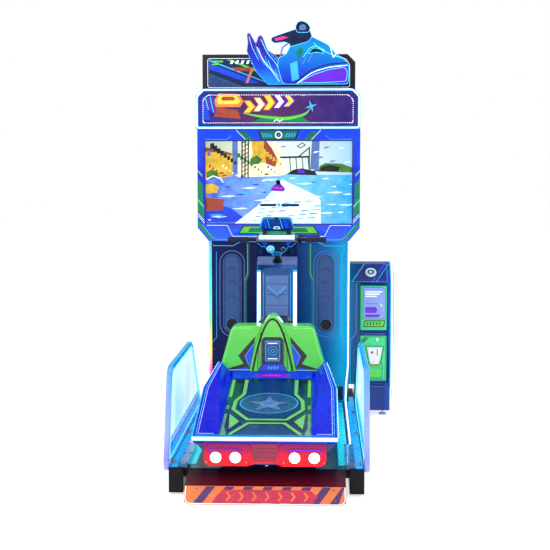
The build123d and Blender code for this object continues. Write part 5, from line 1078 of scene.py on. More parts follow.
# ---- payment column ----
def payment_column():
    softened("coin_box", "base", coin_film_painted_light_spill, 3.0)
    softened("coin_door", "coin_hatch", coin_enamel, 1.6)
    softened("payment_door", "pay_hatch", coin_enamel, 1.6)
    softened("coin_mech", "coin_hatch", silver_cast, 1.2)
    softened("coin_return_flap", "return_flap", coin_enamel, 0.8)
    softened("return_cup", "coin_hatch", grey_case, 0.8)
    softened("reject_button", "reject", red_knob, 1.2, 3)
    low, high = span("coin_box")
    y = low.y
    face = towards_rider(y)
    pay_low, pay_high = span("payment_door")
    pay = Piece("payment_door_print")
    a, b, c, d = pay_low.x + 3, pay_high.x - 3, pay_low.z + 3, pay_high.z - 3
    # The raised print stays clear of the round hinge stile, so that the door can turn right out.
    pane = [(a + 17, 662), (b - 7, 662), (b - 7, d - 26), (b - 30, d - 7), (a + 17, d - 7)]
    pay.plate(pane, pay_sheet, face, -0.4, 3.4, 1.6, 3)
    flat, stroke = pay.on(face)
    stroke(ink_black, 3.0, 3.0, pane, True)
    for k in range(3):
        flat(ink_white, 3.8, oblong(a + 30, a + 30 + (112, 96, 76)[k], 838 - k * 15, 846 - k * 15, 3, 3))
    flat(ink_violet, 3.8, [(a + 30, 700), (a + 100, 700), (a + 112, 720), (a + 100, 740), (a + 30, 740)],
        strip(672, a + 30, b - 50, 690, b - 40, a + 30))
    stroke(ink_navy, 2.0, 3.8, [(a + 24, 762), (b - 20, 762)])
    flat(ink_black, 1.2, [(a + 16, 606), (a + 26, 650), (b - 6, 650), (b - 14, 606)])
    flat(ink_lime, 1.8, [(a + 22, 612), (a + 31, 644), (b - 14, 644), (b - 20, 612)])
    for k in range(5):
        u = a + 40 + k * 20
        flat(ink_black, 2.3, strip(620, u, u + 9, 637, u + 13, u + 4))
    pay.done("pay_hatch", "pay_lavender")
    door = Piece("coin_door_print")
    low_d, high_d = span("coin_door")
    a, b, c, d = low_d.x, high_d.x, low_d.z, high_d.z
    door.line(rounded([(a + 7, c + 7), (b - 7, c + 7), (b - 7, d - 7), (a + 30, d - 7), (a + 7, d - 34)], 8, 3), 3.2,
        ink_black, face, 0.6, True)
    door.prints([[(a + 12, d - 60), (a + 12, d - 34), (a + 34, d - 12), (a + 60, d - 12)]], ink_teal, face, 0.6)
    door.prints([[(a + 12, c + 12), (a + 40, c + 12), (a + 24, c + 150), (a + 12, c + 190)]], ink_moss, face, 0.6)
    mech = span("coin_mech")
    m0, m1, m2, m3 = mech[0].x, mech[1].x, mech[0].z, mech[1].z
    mid = (m0 + m1) / 2
    door.line(rounded(strip(m2 - 8, mid - 37, mid + 37, m3 + 7, m1 + 10, m0 - 10), 8, 3), 4.0, ink_black, face, 0.8,
        True)
    f0, f1 = span("coin_return_flap")
    door.line(rounded([(f0.x + 6, c + 16), (f1.x + 8, c + 16), (f1.x + 8, f1.z + 38), (f1.x - 14, f1.z + 46),
        (f0.x + 10, f1.z + 46), (f0.x - 6, f1.z + 22), (f0.x - 6, c + 28)], 10, 3), 4.0, ink_black, face, 0.9, True)
    door.plate([(f0.x + 2, f1.z + 10), (f1.x - 2, f1.z + 10), (f1.x - 2, f1.z + 30), (f1.x - 14, f1.z + 38),
        (f0.x + 14, f1.z + 38), (f0.x + 2, f1.z + 26)], ink_moss, face, -0.3, 2.4, 1.4)
    door.done("coin_hatch", "coin_green")
    lid = Piece("return_flap_print")
    lid.plate(oblong(f0.x + 8, f1.x - 8, f0.z + 8, f1.z - 16, 8, 4), ink_lime, face, -1.3, 0.2, 0.8)
    lid.done("return_flap", "coin_green")
    plate = towards_rider(mech[0].y)
    trim = Piece("coin_plate_trim")
    trim.line(rounded(strip(m2 + 5, mid - 26, mid + 26, m3 - 5, m1 - 8, m0 + 8), 5, 3), 1.6, zinc, plate, 0.8, True)
    trim.turned([(10.5, -0.4), (10.5, 1.2), (9.2, 2.2), (8.0, 1.8), (8.0, -0.4)], chrome, plate, (616, 434), 28)
    trim.plate(oblong(mid + 13, mid + 22.5, 410, 458, 3, 3), brass, plate, -0.4, 0.9, 0.5)
    trim.prints([oblong(mid + 16.6, mid + 18.9, 416, 452)], hole_dark, plate, 1.3)
    for x in (612, 634, 656):
        trim.turned([(3.2, -0.2), (3.2, 1.2), (2.4, 1.8), (0, 1.9)], zinc, plate, (x, 374), 16)
    trim.done("coin_hatch", "mech_silver")
    for name, body, x, z in (("payment_door_lock", "pay_hatch", 673, 752), ("coin_door_lock", "coin_hatch", 648,
            521)):
        lock = Piece(name)
        lift = 3.2 if body == "pay_hatch" else -0.2
        lock.turned([(12.5, -0.4), (12.5, lift + 1.6), (11, lift + 3.2), (8.6, lift + 3.6), (8.0, lift + 2.6),
            (0, lift + 2.4)], chrome, face, (x, z), 32)
        lock.plate(oblong(x - 1.4, x + 1.4, z - 5, z + 5, 1.2, 3), hole_dark, face, lift + 2.0, lift + 3.0)
        lock.done(body, "mech_silver")
    card_reader(low, high)


def card_reader(low, high):
    """Sloping top with its reader, the lit edge and the printed streaks."""
    y, front_top, back_y = low.y, 904.0, low.y + 128.1
    rise = Vector((back_y - y, high.z - front_top))
    slope = facing((0, y, front_top), (1, 0, 0), (0, rise.x, rise.y))
    long = rise.length
    x0, x1 = low.x, high.x
    deck = Piece("payment_top_print")
    for k, finish in enumerate((ink_sky, ink_blue, ink_sky)):
        u = (x0 + 20, x1 - 150, x1 - 118)[k]
        wide = (8, 16, 5)[k]
        deck.prints([strip(6, u, u + wide, long - 6, u + wide + 88, u + 88)], finish, slope, 0.5)
    deck.line(rounded(oblong(x0 + 9, x1 - 42, 7, long - 7), 12, 4), 2.6, ink_sky, slope, 0.8, True)
    face = towards_rider(y)
    for k, finish in enumerate((ink_sky, ink_navy, ink_teal)):
        deck.line([(x0 + 16 + k * 9, 215), (x0 + 16 + k * 9, 520 - k * 40), (x0 + 52 + k * 5, 560 - k * 40),
            (x0 + 52 + k * 5, 898)], 3.0, finish, face, 0.5)
    deck.prints([strip(566, 536, 712, 556, 700, 548), [(540, 214), (700, 206), (700, 198), (540, 206)]], ink_slate,
        face, 0.5)
    outer = facing((x1, 0, 0), (0, 1, 0), (0, 0, 1))
    for k, finish in enumerate((ink_sky, ink_teal, ink_blue)):
        at = 260 + k * 210
        deck.prints([[(y + 20, at), (1180, at + 140), (1180, at + 140 + (14, 60, 26)[k]),
            (y + 20, at + (14, 60, 26)[k])]], finish, outer, 0.5)
    deck.done("base", "coin_navy")
    lit = Piece("payment_column_light")
    bar = oblong(-11, 8, -3, 4, 3.0, 4)
    core = oblong(-2, 7, 2, 7, 2.0, 3)
    x = x1 - 12.0
    path = rounded([(x, y, 196), (x, y, front_top), (x, back_y, high.z), (x, 1188, high.z)], 16.0, 5, closed=False)
    lit.swept(path, bar, led_halo, up=(0, -1, 0.6))
    lit.swept(path, core, led_white, up=(0, -1, 0.6))
    lit.done("base", "light_white")
    reader = Piece("round_card_reader")
    centre = ((span("card_reader")[0].x + span("card_reader")[1].x) / 2, long / 2)
    deck_ring = [(52, -0.2), (52, 1.2), (40, 1.4), (40, -0.2)]
    reader.turned(deck_ring, ink_navy, slope, centre, 56)
    reader.turned([(38, -0.2), (38, 4.5), (36.6, 7.2), (33.5, 8.8), (29.5, 8.6), (27.4, 7.2), (27.4, -0.2)],
        white_abs, slope, centre, 56)
    reader.turned([(27.2, 0), (27.2, 6.6), (24, 6.9), (0, 6.4)], dark_plastic, slope, centre, 56)
    reader.turned([(24.6, 6.0), (24.6, 7.6), (22.8, 8.1), (21.4, 7.6), (21.4, 6.0)], led_cyan, slope, centre, 56)
    reader.turned([(9.5, 6.0), (9.5, 7.3), (8, 7.8), (0, 8.0)], white_abs, slope, centre, 32)
    for a in (0.9, 2.4, 3.9, 5.4):
        reader.plate(ring(centre[0] + 16 * cos(a), centre[1] + 16 * sin(a), 1.7, 12), led_cyan, slope, 6.0, 7.2)
    reader.done("base", "reader_white", ("card_reader",))
    vents = [((x1 + 0.3, 985 + k * 16.0, z), RIGHT) for k in range(11) for z in (120, 140, 160)]
    repeated("payment_column_vents", "base", vents, hole_dark, slit, "coin_navy", length=0.0022, width=0.011,
        height=0.001)
    rear = [((x, high.y + 0.3, z), FAR) for x in (x0 + 24, x1 - 24) for z in (250, 560, 990)]
    socket_screws("payment_column_rear_screws", "base", rear, 4.0)


# ---- scooter ----
def hull_parts():
    softened("hull", "scooter", hull_shell, 8.0, 3)
    softened("hull_deck", "scooter", hull_shell, 2.5)
    softened("deck_moulding", "scooter", deck_shell, 3.0)
    dress("deck_panel", panel_gloss)
    softened("scooter_lights", "scooter", led_halo, 2.6, 3)
    low, high = span("scooter_lights")
    core = Piece("scooter_light_cores")
    stern = [(-high.x + 4, low.y + 1.5, 329.5), (high.x - 4, low.y + 1.5, 329.5)]
    core.swept(stern, oblong(-7.5, 7.5, -2.0, 2.6, 2.0, 3), led_white, up=(0, -1, 0))
    for side in (-1, 1):
        edge = [(side * 358.5, -1172, 337), (side * 358.5, -600, 473), (side * 307.5, -253, 555)]
        core.swept(edge, ring(0, 0, 3.6, 10), led_white)
        bottom, top = Vector((side * 112, 327.5, 380)), Vector((side * 112, 386.5, 1016))
        core.swept([bottom, top], oblong(-9.5, 9.5, -1.5, 6.5, 3.0, 3), led_white, up=(0, -1, 0))
    core.done("scooter", "light_white")
    dress("roll_shaft", zinc)
    pads = Piece("foot_well_pads")
    floor = facing((0, 0, 308), (1, 0, 0), (0, 1, 0))
    for side in (-1, 1):
        corners = [(side * 150, -96), (side * 312, -96), (side * 318, 60), (side * 262, 300), (side * 150, 300)]
        pads.plate(rounded(corners, 22, 5), rubber, floor, -0.4, 4.0, 1.5)
        for k in range(15):
            v = -70 + k * 24.0
            reach = 302 if v < 60 else 302 - (v - 60) * 0.2
            pads.plate(oblong(min(side * 164, side * reach), max(side * 164, side * reach), v, v + 9, 4, 3), rubber,
                floor, 3.0, 7.0, 1.5)
    pads.done("scooter", "rubber_black")
    sides = Piece("hull_side_stripes")
    for side in (-1, 1):
        wall = flank(side, 354.0)
        sides.prints([[(side * -1150, 338), (side * -640, 434), (side * -640, 448), (side * -1150, 352)]], ink_sky,
            wall, 0.4)
        sides.prints([[(side * -1150, 322), (side * -620, 396), (side * -620, 420), (side * -1150, 332)]], ink_violet,
            wall, 0.4)
    sides.done("scooter", "deck_blue")


def deck_art():
    rise = Vector((855.0, 133.0))
    panel = facing((0, -1175, 341), (1, 0, 0), (0, rise.x, rise.y))
    art = Piece("deck_panel_art")
    long = rise.length
    glow = surface("printed_panel_sea_to_slate", "#0E4A78", 0.2, "#0A6A8C", coat=0.15, shine=0.2, relief=0.02,
        patch=70, glow=0.14, blend=("Y", -1175, -320, [(0.0, "#0A4890"), (0.2, "#06305C"), (0.6, "#054860"),
        (1.0, "#041828")]))
    art.plate(oblong(-222, 222, 6, long - 4, 6, 3), glow, panel, -0.3, 0.5)
    flat, stroke = art.on(panel)
    for k in range(5):
        flat((ink_deep, ink_navy)[k % 2], 0.7, strip(long - 10, -150 + k * 70, -120 + k * 70, 620, -60 + k * 40, -70 +
            k * 40))
    ground = rounded([(-122, 812), (-122, 604), (-160, 498), (-164, 376), (-88, 236), (88, 236), (164, 376),
        (160, 498), (122, 604), (122, 812)], 8, 3)
    flat(ink_deep, 0.9, ground)
    flat(ink_slate, 1.1, ring(0, 468, 158, 48))
    stroke(ink_sky, 5.0, 1.6, ring(0, 468, 152, 48), True)
    star = []
    for k in range(10):
        r = 132 if k % 2 == 0 else 50
        star.append((r * cos(pi / 2 + pi * k / 5), 452 + r * sin(pi / 2 + pi * k / 5)))
    flat(ink_haze, 1.4, star)
    stroke(ink_navy, 4.0, 1.7, star, True)
    stroke(ink_sky, 5.0, 1.9, ring(0, 462, 40, 28), True)
    for side in (-1, 1):
        at = outwards(side)
        edge = at((140, 838), (140, 602), (178, 497), (182, 368), (100, 222), (0, 222))
        stroke(ink_navy, 34.0, 1.9, edge)
        stroke(ink_pear, 20.0, 2.4, edge)
        lower = at((0, 172), (92, 172), (176, 18))
        stroke(ink_navy, 34.0, 1.9, lower)
        stroke(ink_pear, 19.0, 2.4, lower)
        flat(ink_navy, 2.0, at((203, 330), (126, 193), (184, 62), (192, 62), (208, 210)))
        flat(ink_pear, 2.5, at((196, 300), (140, 195), (184, 90)))
        flat(ink_navy, 0.9, at((197, 845), (222, 845), (222, 556), (197, 548)))
        flat(ink_pear, 1.3, at((203, 840), (220, 840), (220, 562), (203, 556)))
        flat(ink_moss, 1.3, at((206, 430), (222, 430), (222, 378), (206, 372)), at((208, 306), (222, 306), (222, 12),
            (196, 12), (196, 40), (210, 120)))
    art.done("scooter", "deck_art")
    trim = Piece("deck_moulding_trim")
    slope = facing((0, -1175, 341), (1, 0, 0), (0, 925, 219))
    for side in (-1, 1):
        outer = [(side * 342, 14), (side * 342, 588), (side * 298, 930)]
        trim.line(outer, 4.0, ink_sky, slope, 0.8)
        trim.line([(side * 254, 26), (side * 332, 26), (side * 332, 586), (side * 290, 925)], 1.8, ink_white, slope,
            0.8)
    trim.line([(-342, 9), (342, 9)], 4.0, ink_sky, slope, 0.8)
    ridge = facing((0, -320, 474), (1, 0, 0), (0, 70, 30))
    trim.plate(strip(3, -220, 220, 70, 224, -224), ink_blue, ridge, -0.4, 0.6)
    trim.prints([strip(14, -110, 110, 58, 80, -80)], ink_violet, ridge, 1.0)
    trim.prints([strip(24, -60, 60, 40, 40, -40)], ink_magenta, ridge, 1.4)
    trim.done("scooter", "deck_blue")
    rivets = []
    up = Vector((0, -219, 925)).normalized()
    for side in (-1, 1):
        for k in range(6):
            p = slope @ Vector((side * 336.0, 50 + k * 98.0, 0.3)) * 1000
            rivets.append((p, up))
    socket_screws("deck_flange_screws", "scooter", rivets, 3.6)


def tail_lamps():
    """Moulded tail with two raised pods, each with two lit lenses, and a centre block."""
    low, high = span("tail_housing")
    y, half, z0, z1 = low.y, high.x, low.z, high.z
    face = towards_rider(y)
    lens_low, lens_high = span("tail_lenses")
    radius, centre = (lens_high.z - lens_low.z) / 2, (lens_high.z + lens_low.z) / 2
    tail, lamp = Piece("tail_light_moulding"), Piece("tail_light_lenses")
    right = [(64, z0 + 13), (77, z0), (half - 20, z0), (half, z0 + 20), (half, z1)]
    outline = rounded([Vector(p) for p in right] + mirrored(right), 16, 4)
    tail.plate(outline, tail_shell, face, -40.0, -9.0, 4.0, 3)
    shelf = [(70, z0 + 20), (84, z0 + 8), (half - 26, z0 + 8), (half - 8, z0 + 26), (half - 8, z1 - 14),
        (70, z1 - 14)]
    for side in (-1, 1):
        def at(points):
            return [Vector((side * p[0], p[1])) for p in (points if side == 1 else list(reversed(points)))]
        tail.plate(rounded(at(shelf), 20, 5), tail_shell, face, -12.0, -4.0, 5.0, 4)
        pod = [Vector((p.x, p.y)) for p in oblong(112, 284, centre - 37, centre + 45, 36, 7)]
        tail.plate(at(pod), tail_shell, face, -6.0, 1.0, 6.0, 5)
        # A violet line along each pod's upper rim: a painted highlight.
        top_highlight = rounded([(118, centre + 20), (126, centre + 40), (270, centre + 40), (279, centre + 20)], 26, 6,
            closed=False)
        tail.swept([(side * p.x, y - 0.5, p.y) for p in top_highlight], ring(0, 0, 3.6, 10), ink_violet, up=(0, -1, 0))
        for x in (146, 243):
            u = side * x
            tail.turned([(radius + 8, -2), (radius + 7, 1.8), (radius + 4.5, 3.2), (radius + 1.2, 2.0),
                (radius + 0.6, -6), (radius + 8, -6)], tail_shell, face, (u, centre), 40)
            lamp.turned([(0, -7), (radius, -7), (radius, 2.0), (radius - 4, 4.4), (radius * 0.6, 5.6), (0, 6.2)],
                lens_glow, face, (u, centre), 40)
            for ringed in (0.42, 0.66, 0.86):
                lamp.turned([(radius * ringed + 0.9, 3.0), (radius * ringed + 0.4, 6.6 - ringed * 1.6),
                    (radius * ringed - 0.4, 6.6 - ringed * 1.6), (radius * ringed - 0.9, 3.0)], lens_glow, face,
                    (u, centre), 40)
    block = rounded([(-62, z0 + 22), (62, z0 + 22), (62, z1 - 14), (-62, z1 - 14)], 8, 4)
    tail.plate(block, tail_dark, face, -12.0, -5.0, 3.0, 3)
    for k in range(4):
        v = z0 + 40 + k * 22
        tail.plate(oblong(-50, 50, v, v + 7, 3, 3), tail_dark, face, -6.0, -3.4, 1.2)
    tail.done("scooter", "tail_red", ("tail_housing",))
    lamp.done("scooter", "lens_cream", ("tail_lenses",))
    heads = [((side * x, y + 3.8, z0 + 20), NEAR) for side in (-1, 1) for x in (92, 292)]
    socket_screws("tail_screws", "scooter", heads, 4.0)


def seat():
    softened("cowl_wings", "scooter", seat_shell, 9.0, 4)
    softened("cowl_arch", "scooter", seat_shell, 6.0, 3)
    softened("seat_base", "scooter", hull_shell, 5.0, 3)
    low, high = span("cowl_arch")
    arch, wing = towards_rider(low.y), towards_rider(span("cowl_wings")[0].y)
    foot, top, half = low.z, high.z, high.x
    curve = []
    for k in range(33):
        t = k / 32
        share = 2 * t * (1 - t)
        curve.append(Vector(((-half + 21) * (1 - t) ** 2 + (half - 21) * t * t, foot + 4 +
            (2 * (top - 20) - 2 * foot - 8) * share)))
    art = Piece("cowl_arch_art")
    flat, stroke = art.on(arch)
    stroke(ink_black, 12.0, 0.9, curve)
    flat(ink_black, 0.8, [(-46, 702), (46, 702), (60, 690), (60, 544), (-60, 544), (-60, 690)])
    art.plate(oblong(-46, 46, 558, 688, 3, 3), ink_slate, arch, 0.0, 2.6, 1.2)
    art.plate(oblong(-40, 40, 566, 680, 8, 4), ink_sky, arch, 2.0, 3.0, 0.4)
    art.plate(oblong(-37, 37, 569, 677, 7, 4), ink_slate, arch, 2.2, 3.5, 0.4)
    for radius, finish, lift in ((31, ink_navy, 4.0), (27, ink_sky, 4.3), (24, ink_slate, 4.6), (15, ink_navy, 4.9),
            (11, ink_sky, 5.2), (7, ink_navy, 5.5)):
        art.plate(ring(0, 624, radius, 40), finish, arch, 3.0, lift)
    flat(ink_white, 4.2, oblong(-28, 28, 664, 670, 2, 2), oblong(-28, 28, 576, 582, 2, 2))
    for side in (-1, 1):
        inner = [(side * 67, 546), (side * 78, 546), (side * 73, 640), (side * 66, 690)]
        flat(ink_moss, 1.0, inner)
        stroke(ink_black, 3.5, 0.9, [(side * 62, 540), (side * 64, 690)])
        stroke(ink_black, 4.0, 0.9, [(side * 86, 518), (side * 80, 640), (side * 66, 730)])
    art.plate(strip(548, -61, 61, 506, 84, -84), ink_blue, arch, -0.3, 2.4, 1.2)
    stroke(ink_black, 4.0, 2.7, strip(548, -61, 61, 506, 84, -84), True)
    for k in range(4):
        u = -30 + k * 17
        flat(ink_sky, 3.1, strip(520, u, u + 9, 534, u + 15, u + 6))
    art.done("scooter", "seat_green")
    wings = Piece("cowl_wing_art")
    for side in (-1, 1):
        at = outwards(side)
        wings.prints([at((98, 706), (196, 594), (166, 548), (292, 507), (128, 507))], ink_black, wing, 0.6)
        wings.prints([at((106, 668), (162, 592), (134, 528), (122, 560))], ink_blue, wing, 1.2)
        wings.line(at((108, 660), (156, 592), (136, 540)), 3.0, ink_sky, wing, 1.6)
        wings.prints([at((126, 507), (292, 507), (210, 517), (150, 526))], ink_blue, wing, 1.2)
        # Pale mint lines along the wing's rounded rim: a painted highlight.
        wings.line(rounded(at((289, 524), (230, 740), (222, 752), (118, 752)), 24, 5, False), 3.0, ink_mint_rim_highlight, wing,
            0.6)
        wings.line(at((120, 512), (284, 512)), 3.0, ink_mint_rim_highlight, wing, 1.6)
    wings.done("scooter", "seat_green")
    grown = [((side * x, span("cowl_wings")[1].y + 0.4, 540), FAR) for side in (-1, 1) for x in (180, 250)]
    socket_screws("cowl_screws", "scooter", grown, 4.5)
    saddle()


# Cushion in metres: mesh size, pressure and length of the cloth run, and how far a point may move.
GRID, PRESSURE, CLOTH_FRAMES, LONGEST_MOVE = 0.006, 4.0, 20, 0.012
CHANNELS = (0.10, 0.245)
TOP_LEVEL = 0.71


def saddle():
    """Padded saddle: blown up from a slightly smaller block, then stitched."""
    low, high = span("saddle")
    w, y0, y1, z0, z1 = high.x - 11, low.y + 9, high.y - 9, low.z + 3, high.z - 13
    shape = bmesh.new()
    section = [Vector(p) for p in ((-w, z0), (w, z0), (w, z1 - 16), (w - 34, z1), (-w + 34, z1), (-w, z1 - 16))]
    section = rounded(section, 16, 4)
    rows = []
    for k in range(25):
        t = k / 24
        pinch = 1.0 - 0.17 * max(0.0, (t - 0.45) / 0.55) ** 1.6
        dip = 9.0 * sin(pi * min(1.0, t * 1.15)) ** 2
        rise = 5.0 * max(0.0, (0.22 - t) / 0.22)
        row = []
        for p in section:
            lift = 1.0 if p.y > (z0 + z1) / 2 else 0.0
            row.append(shape.verts.new(Vector((p.x * pinch, y0 + (y1 - y0) * t, p.y - dip * lift + rise * lift)) *
                0.001))
        rows.append(row)
    for a, b in zip(rows, rows[1:]):
        for i in range(len(section)):
            j = (i + 1) % len(section)
            shape.faces.new((a[i], a[j], b[j], b[i]))
    shape.faces.new(rows[0])
    shape.faces.new(rows[-1])
    bmesh.ops.recalc_face_normals(shape, faces=shape.faces)
    mesh = bpy.data.meshes.new("saddle_cushion")
    shape.to_mesh(mesh)
    shape.free()
    cushion = bpy.data.objects.new("saddle_cushion", mesh)
    bpy.context.collection.objects.link(cushion)
    grid = cushion.modifiers.new("even_grid", "REMESH")
    grid.mode, grid.voxel_size = "VOXEL", GRID
    mesh = bpy.data.meshes.new_from_object(cushion.evaluated_get(bpy.context.evaluated_depsgraph_get()))
    cushion.modifiers.remove(grid)
    cushion.data = mesh
    before = [v.co.copy() for v in mesh.vertices]
    pins = cushion.vertex_groups.new(name="pan")
    pins.add([v.index for v in mesh.vertices if v.co.z < (z0 + 4) / 1000], 1.0, "REPLACE")
    blown = cushion.modifiers.new("blown", "CLOTH")
    blown.settings.vertex_group_mass = "pan"
    blown.settings.use_pressure = True
    blown.settings.uniform_pressure_force = PRESSURE
    blown.settings.effector_weights.gravity = 0.0
    scene = bpy.context.scene
    for step in range(1, CLOTH_FRAMES + 1):
        scene.frame_set(step)
    mesh = bpy.data.meshes.new_from_object(cushion.evaluated_get(bpy.context.evaluated_depsgraph_get()))
    cushion.modifiers.remove(blown)
    cushion.data = mesh
    scene.frame_set(1)
    limit = (Vector((low.x + 1, low.y + 1, low.z + 0.4)) / 1000, Vector((high.x - 1, high.y - 1, high.z - 1)) / 1000)
    for v, start in zip(mesh.vertices, before):
        move = v.co - start
        if move.length > LONGEST_MOVE:
            move = move.normalized() * LONGEST_MOVE
        place = start + move
        on_top = min(1.0, max(0.0, (place.z - TOP_LEVEL - 0.005) / 0.02))
        for seam in CHANNELS:
            gap = abs(place.y - (seam - 0.06 * (1 - abs(place.x) / 0.14)))
            place.z -= 0.005 * on_top * max(0.0, 1 - gap / 0.011)
        welt = abs(abs(place.x) - 0.098 + 0.03 * max(0.0, place.y - 0.1) / 0.2)
        place.z -= 0.0035 * on_top * max(0.0, 1 - welt / 0.009)
        for axis in range(3):
            place[axis] = min(limit[1][axis], max(limit[0][axis], place[axis]))
        v.co = place
    mesh.materials.clear()
    mesh.materials.append(vinyl)
    for face in mesh.polygons:
        face.use_smooth = True
    finer = cushion.modifiers.new("smoother", "SUBSURF")
    finer.levels = finer.render_levels = 1
    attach(cushion, "scooter")
    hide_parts("saddle")
    heights = bpy.context.evaluated_depsgraph_get()
    solid = cushion.evaluated_get(heights)
    stitches = []
    for seam in CHANNELS:
        for k in range(-15, 16):
            x = k * 0.0058
            y = seam - 0.06 * (1 - abs(x) / 0.14) + 0.0125
            hit, spot, normal, face = solid.ray_cast(Vector((x, y, 1.0)), Vector((0, 0, -1)))
            if hit and spot.z > TOP_LEVEL:
                stitches.append((spot * 1000 + normal * 0.2, tuple(normal)))
    repeated("saddle_stitches", "scooter", stitches, thread, slit, "saddle_black", length=0.0038, width=0.0011,
        height=0.0007)


def column():
    softened("front_column", "scooter", column_shell, 5.0, 3)
    rise = Vector((70.0, 752.0))
    panel = facing((0, 330, 308), (1, 0, 0), (0, rise.x, rise.y))
    trim = Piece("column_print")
    trim.plate([(-94, 40), (94, 40), (94, 716), (76, 738), (-76, 738), (-94, 716)], ink_slate, panel, -0.4, 1.6, 0.8)
    trim.plate(oblong(-70, 70, 70, 690), ink_haze, panel, 0.4, 2.4, 0.8)
    for k in range(9):
        v = 110 + k * 66
        trim.line([(-70, v), (70, v)], 2.4, ink_navy, panel, 2.9)
    for k, finish in enumerate((ink_slate, ink_sky)):
        trim.line([(-60 + k * 6, 330 + k * 22), (0, 280 + k * 22), (60 - k * 6, 330 + k * 22)], 5.0, finish, panel,
            3.1)
        trim.line([(-60 + k * 6, 600 + k * 22), (0, 550 + k * 22), (60 - k * 6, 600 + k * 22)], 5.0, finish, panel,
            3.1)
    for side in (-1, 1):
        trim.line([(side * 84, 56), (side * 84, 700)], 3.0, ink_sky, panel, 2.2)
        wall = flank(side, 125.0)
        trim.prints([[(side * 372, 340), (side * 560, 420), (side * 560, 470), (side * 376, 390)],
            [(side * 380, 430), (side * 540, 500), (side * 540, 512), (side * 381, 442)]], ink_violet, wall, 0.5)
        trim.prints([[(side * 382, 560), (side * 540, 640), (side * 540, 700), (side * 388, 620)]], ink_teal, wall,
            0.5)
    trim.done("scooter", "column_blue")
    bolts = [(panel @ Vector((side * 84, v, 1.8)) * 1000, (0, -0.9957, 0.0927)) for side in (-1, 1) for v in
        (48, 708)]
    socket_screws("column_screws", "scooter", bolts, 4.0)


# ---- steering ----
TILT = radians(25)
PIVOT = Vector((0, 449.85, 1083.24))


def raked(origin, across, up):
    """Drawing plane in the steering head's own leaning frame."""
    lean = Matrix.Rotation(TILT, 4, "X")
    return facing(PIVOT + lean @ Vector(origin), lean @ Vector(across), lean @ Vector(up))


def steering():
    dress("handlebar", frame_coat)
    softened("throttle_lever", "throttle", grey_case, 1.2)
    softened("control_pod", "steering", pod_shell, 5.0, 3)
    softened("pod_light", "steering", surface("opal_polycarbonate_lit_cool", "#D4F0F8", 0.3, "#9CD4E8", glow=0.7,
        patch=60), 5.0, 3)
    softened("windshield", "steering", shield_tint, 1.6)
    softened("start_button", "start", blue_knob, 2.4, 3)
    back = raked((0, -62, 0), (1, 0, 0), (0, 0, 1))
    art = Piece("pod_print")
    flat, stroke = art.on(back)
    for side in (-1, 1):
        at = outwards(side)
        flat(ink_navy, 0.5, at((122, 74), (70, 70), (60, 92), (96, 112), (118, 150)))
        stroke(ink_sky, 2.0, 1.0, at((118, 160), (88, 132), (74, 140), (56, 104), (30, 92), (20, 74)))
        stroke(ink_slate, 1.6, 1.0, at((112, 84), (92, 92), (100, 108), (84, 116)))
        flat(ink_blue, 0.8, at((62, 164), (92, 164), (74, 148), (56, 148)))
    flat(ink_slate, 0.6, [(-24, 70), (24, 70), (34, 92), (0, 100), (-34, 92)])
    stroke(ink_sky, 1.8, 1.0, [(-24, 70), (-34, 92), (0, 100), (34, 92), (24, 70)])
    art.turned([(21, -0.5), (21, 2.0), (19, 3.4), (16, 3.4), (15.2, 1.2), (15.2, -0.5)], chrome, back, (-38, 118), 36)
    art.turned([(24, -0.5), (24, 1.0), (21.4, 1.6), (21.4, -0.5)], led_cyan, back, (-38, 118), 36)
    art.turned([(11, -0.5), (11, 2.6), (9, 4.0), (0, 4.4)], dark_plastic, back, (40, 118), 28)
    art.turned([(13, -0.5), (13, 1.4), (11.2, 2.0), (11.2, -0.5)], zinc, back, (40, 118), 28)
    top = raked((0, 0, 170), (1, 0, 0), (0, 1, 0))
    art.plate(strip(-20, -100, 100, -4, 84, -84), ink_teal, top, -0.3, 1.4, 0.6)
    for side in (-1, 1):
        art.prints([strip(12, side * 96, side * 112, 50, side * 104, side * 92)], ink_sky, top, 0.6)
    dash = raked((0, 0, 0), (1, 0, 0), (0, 0, 1))
    art.done("steering", "pod_blue")
    posts = Piece("dash_bar")
    for side in (-1, 1):
        posts.plate(oblong(min(side * 60, side * 84), max(side * 60, side * 84), 190, 224, 5, 3), dark_plastic, dash,
            6.0, 24.0, 3.0, 3)
    posts.plate(oblong(-84, 84, 197, 216, 6, 4), surface("moulded_bar_emerald", "#12A06A", 0.3, "#0A6C54", coat=0.5,
        patch=40, relief=0.08), dash, 8.0, 18.0, 3.0, 3)
    posts.done("steering", "pod_blue")
    glass = raked((0, -1, 222), (1, 0, 0), (0, 0, 1))
    streak = Piece("windshield_print")
    streak.line(rounded([(-104, 4), (-86, 70), (-70, 79), (70, 79), (86, 70), (104, 4)], 12, 4, False), 4.0, ink_sky,
        glass, 0.6)
    for u, wide, finish in ((-70, 14, ink_blue), (-44, 4, ink_sky), (34, 5, ink_sky), (54, 20, ink_blue)):
        streak.prints([strip(8, u, u + wide, 72, u + wide - 16, u - 16)], finish, glass, 0.5)
    streak.prints([strip(3, -22, 22, 20, 15, -15)], ink_white, glass, 0.9)
    streak.prints([strip(6, -16, 16, 16, 11, -11)], ink_blue, glass, 1.2)
    streak.prints([strip(82, -14, 14, 66, 6, -6)], ink_navy, glass, 0.9)
    streak.done("steering", "shield_blue")
    grips()


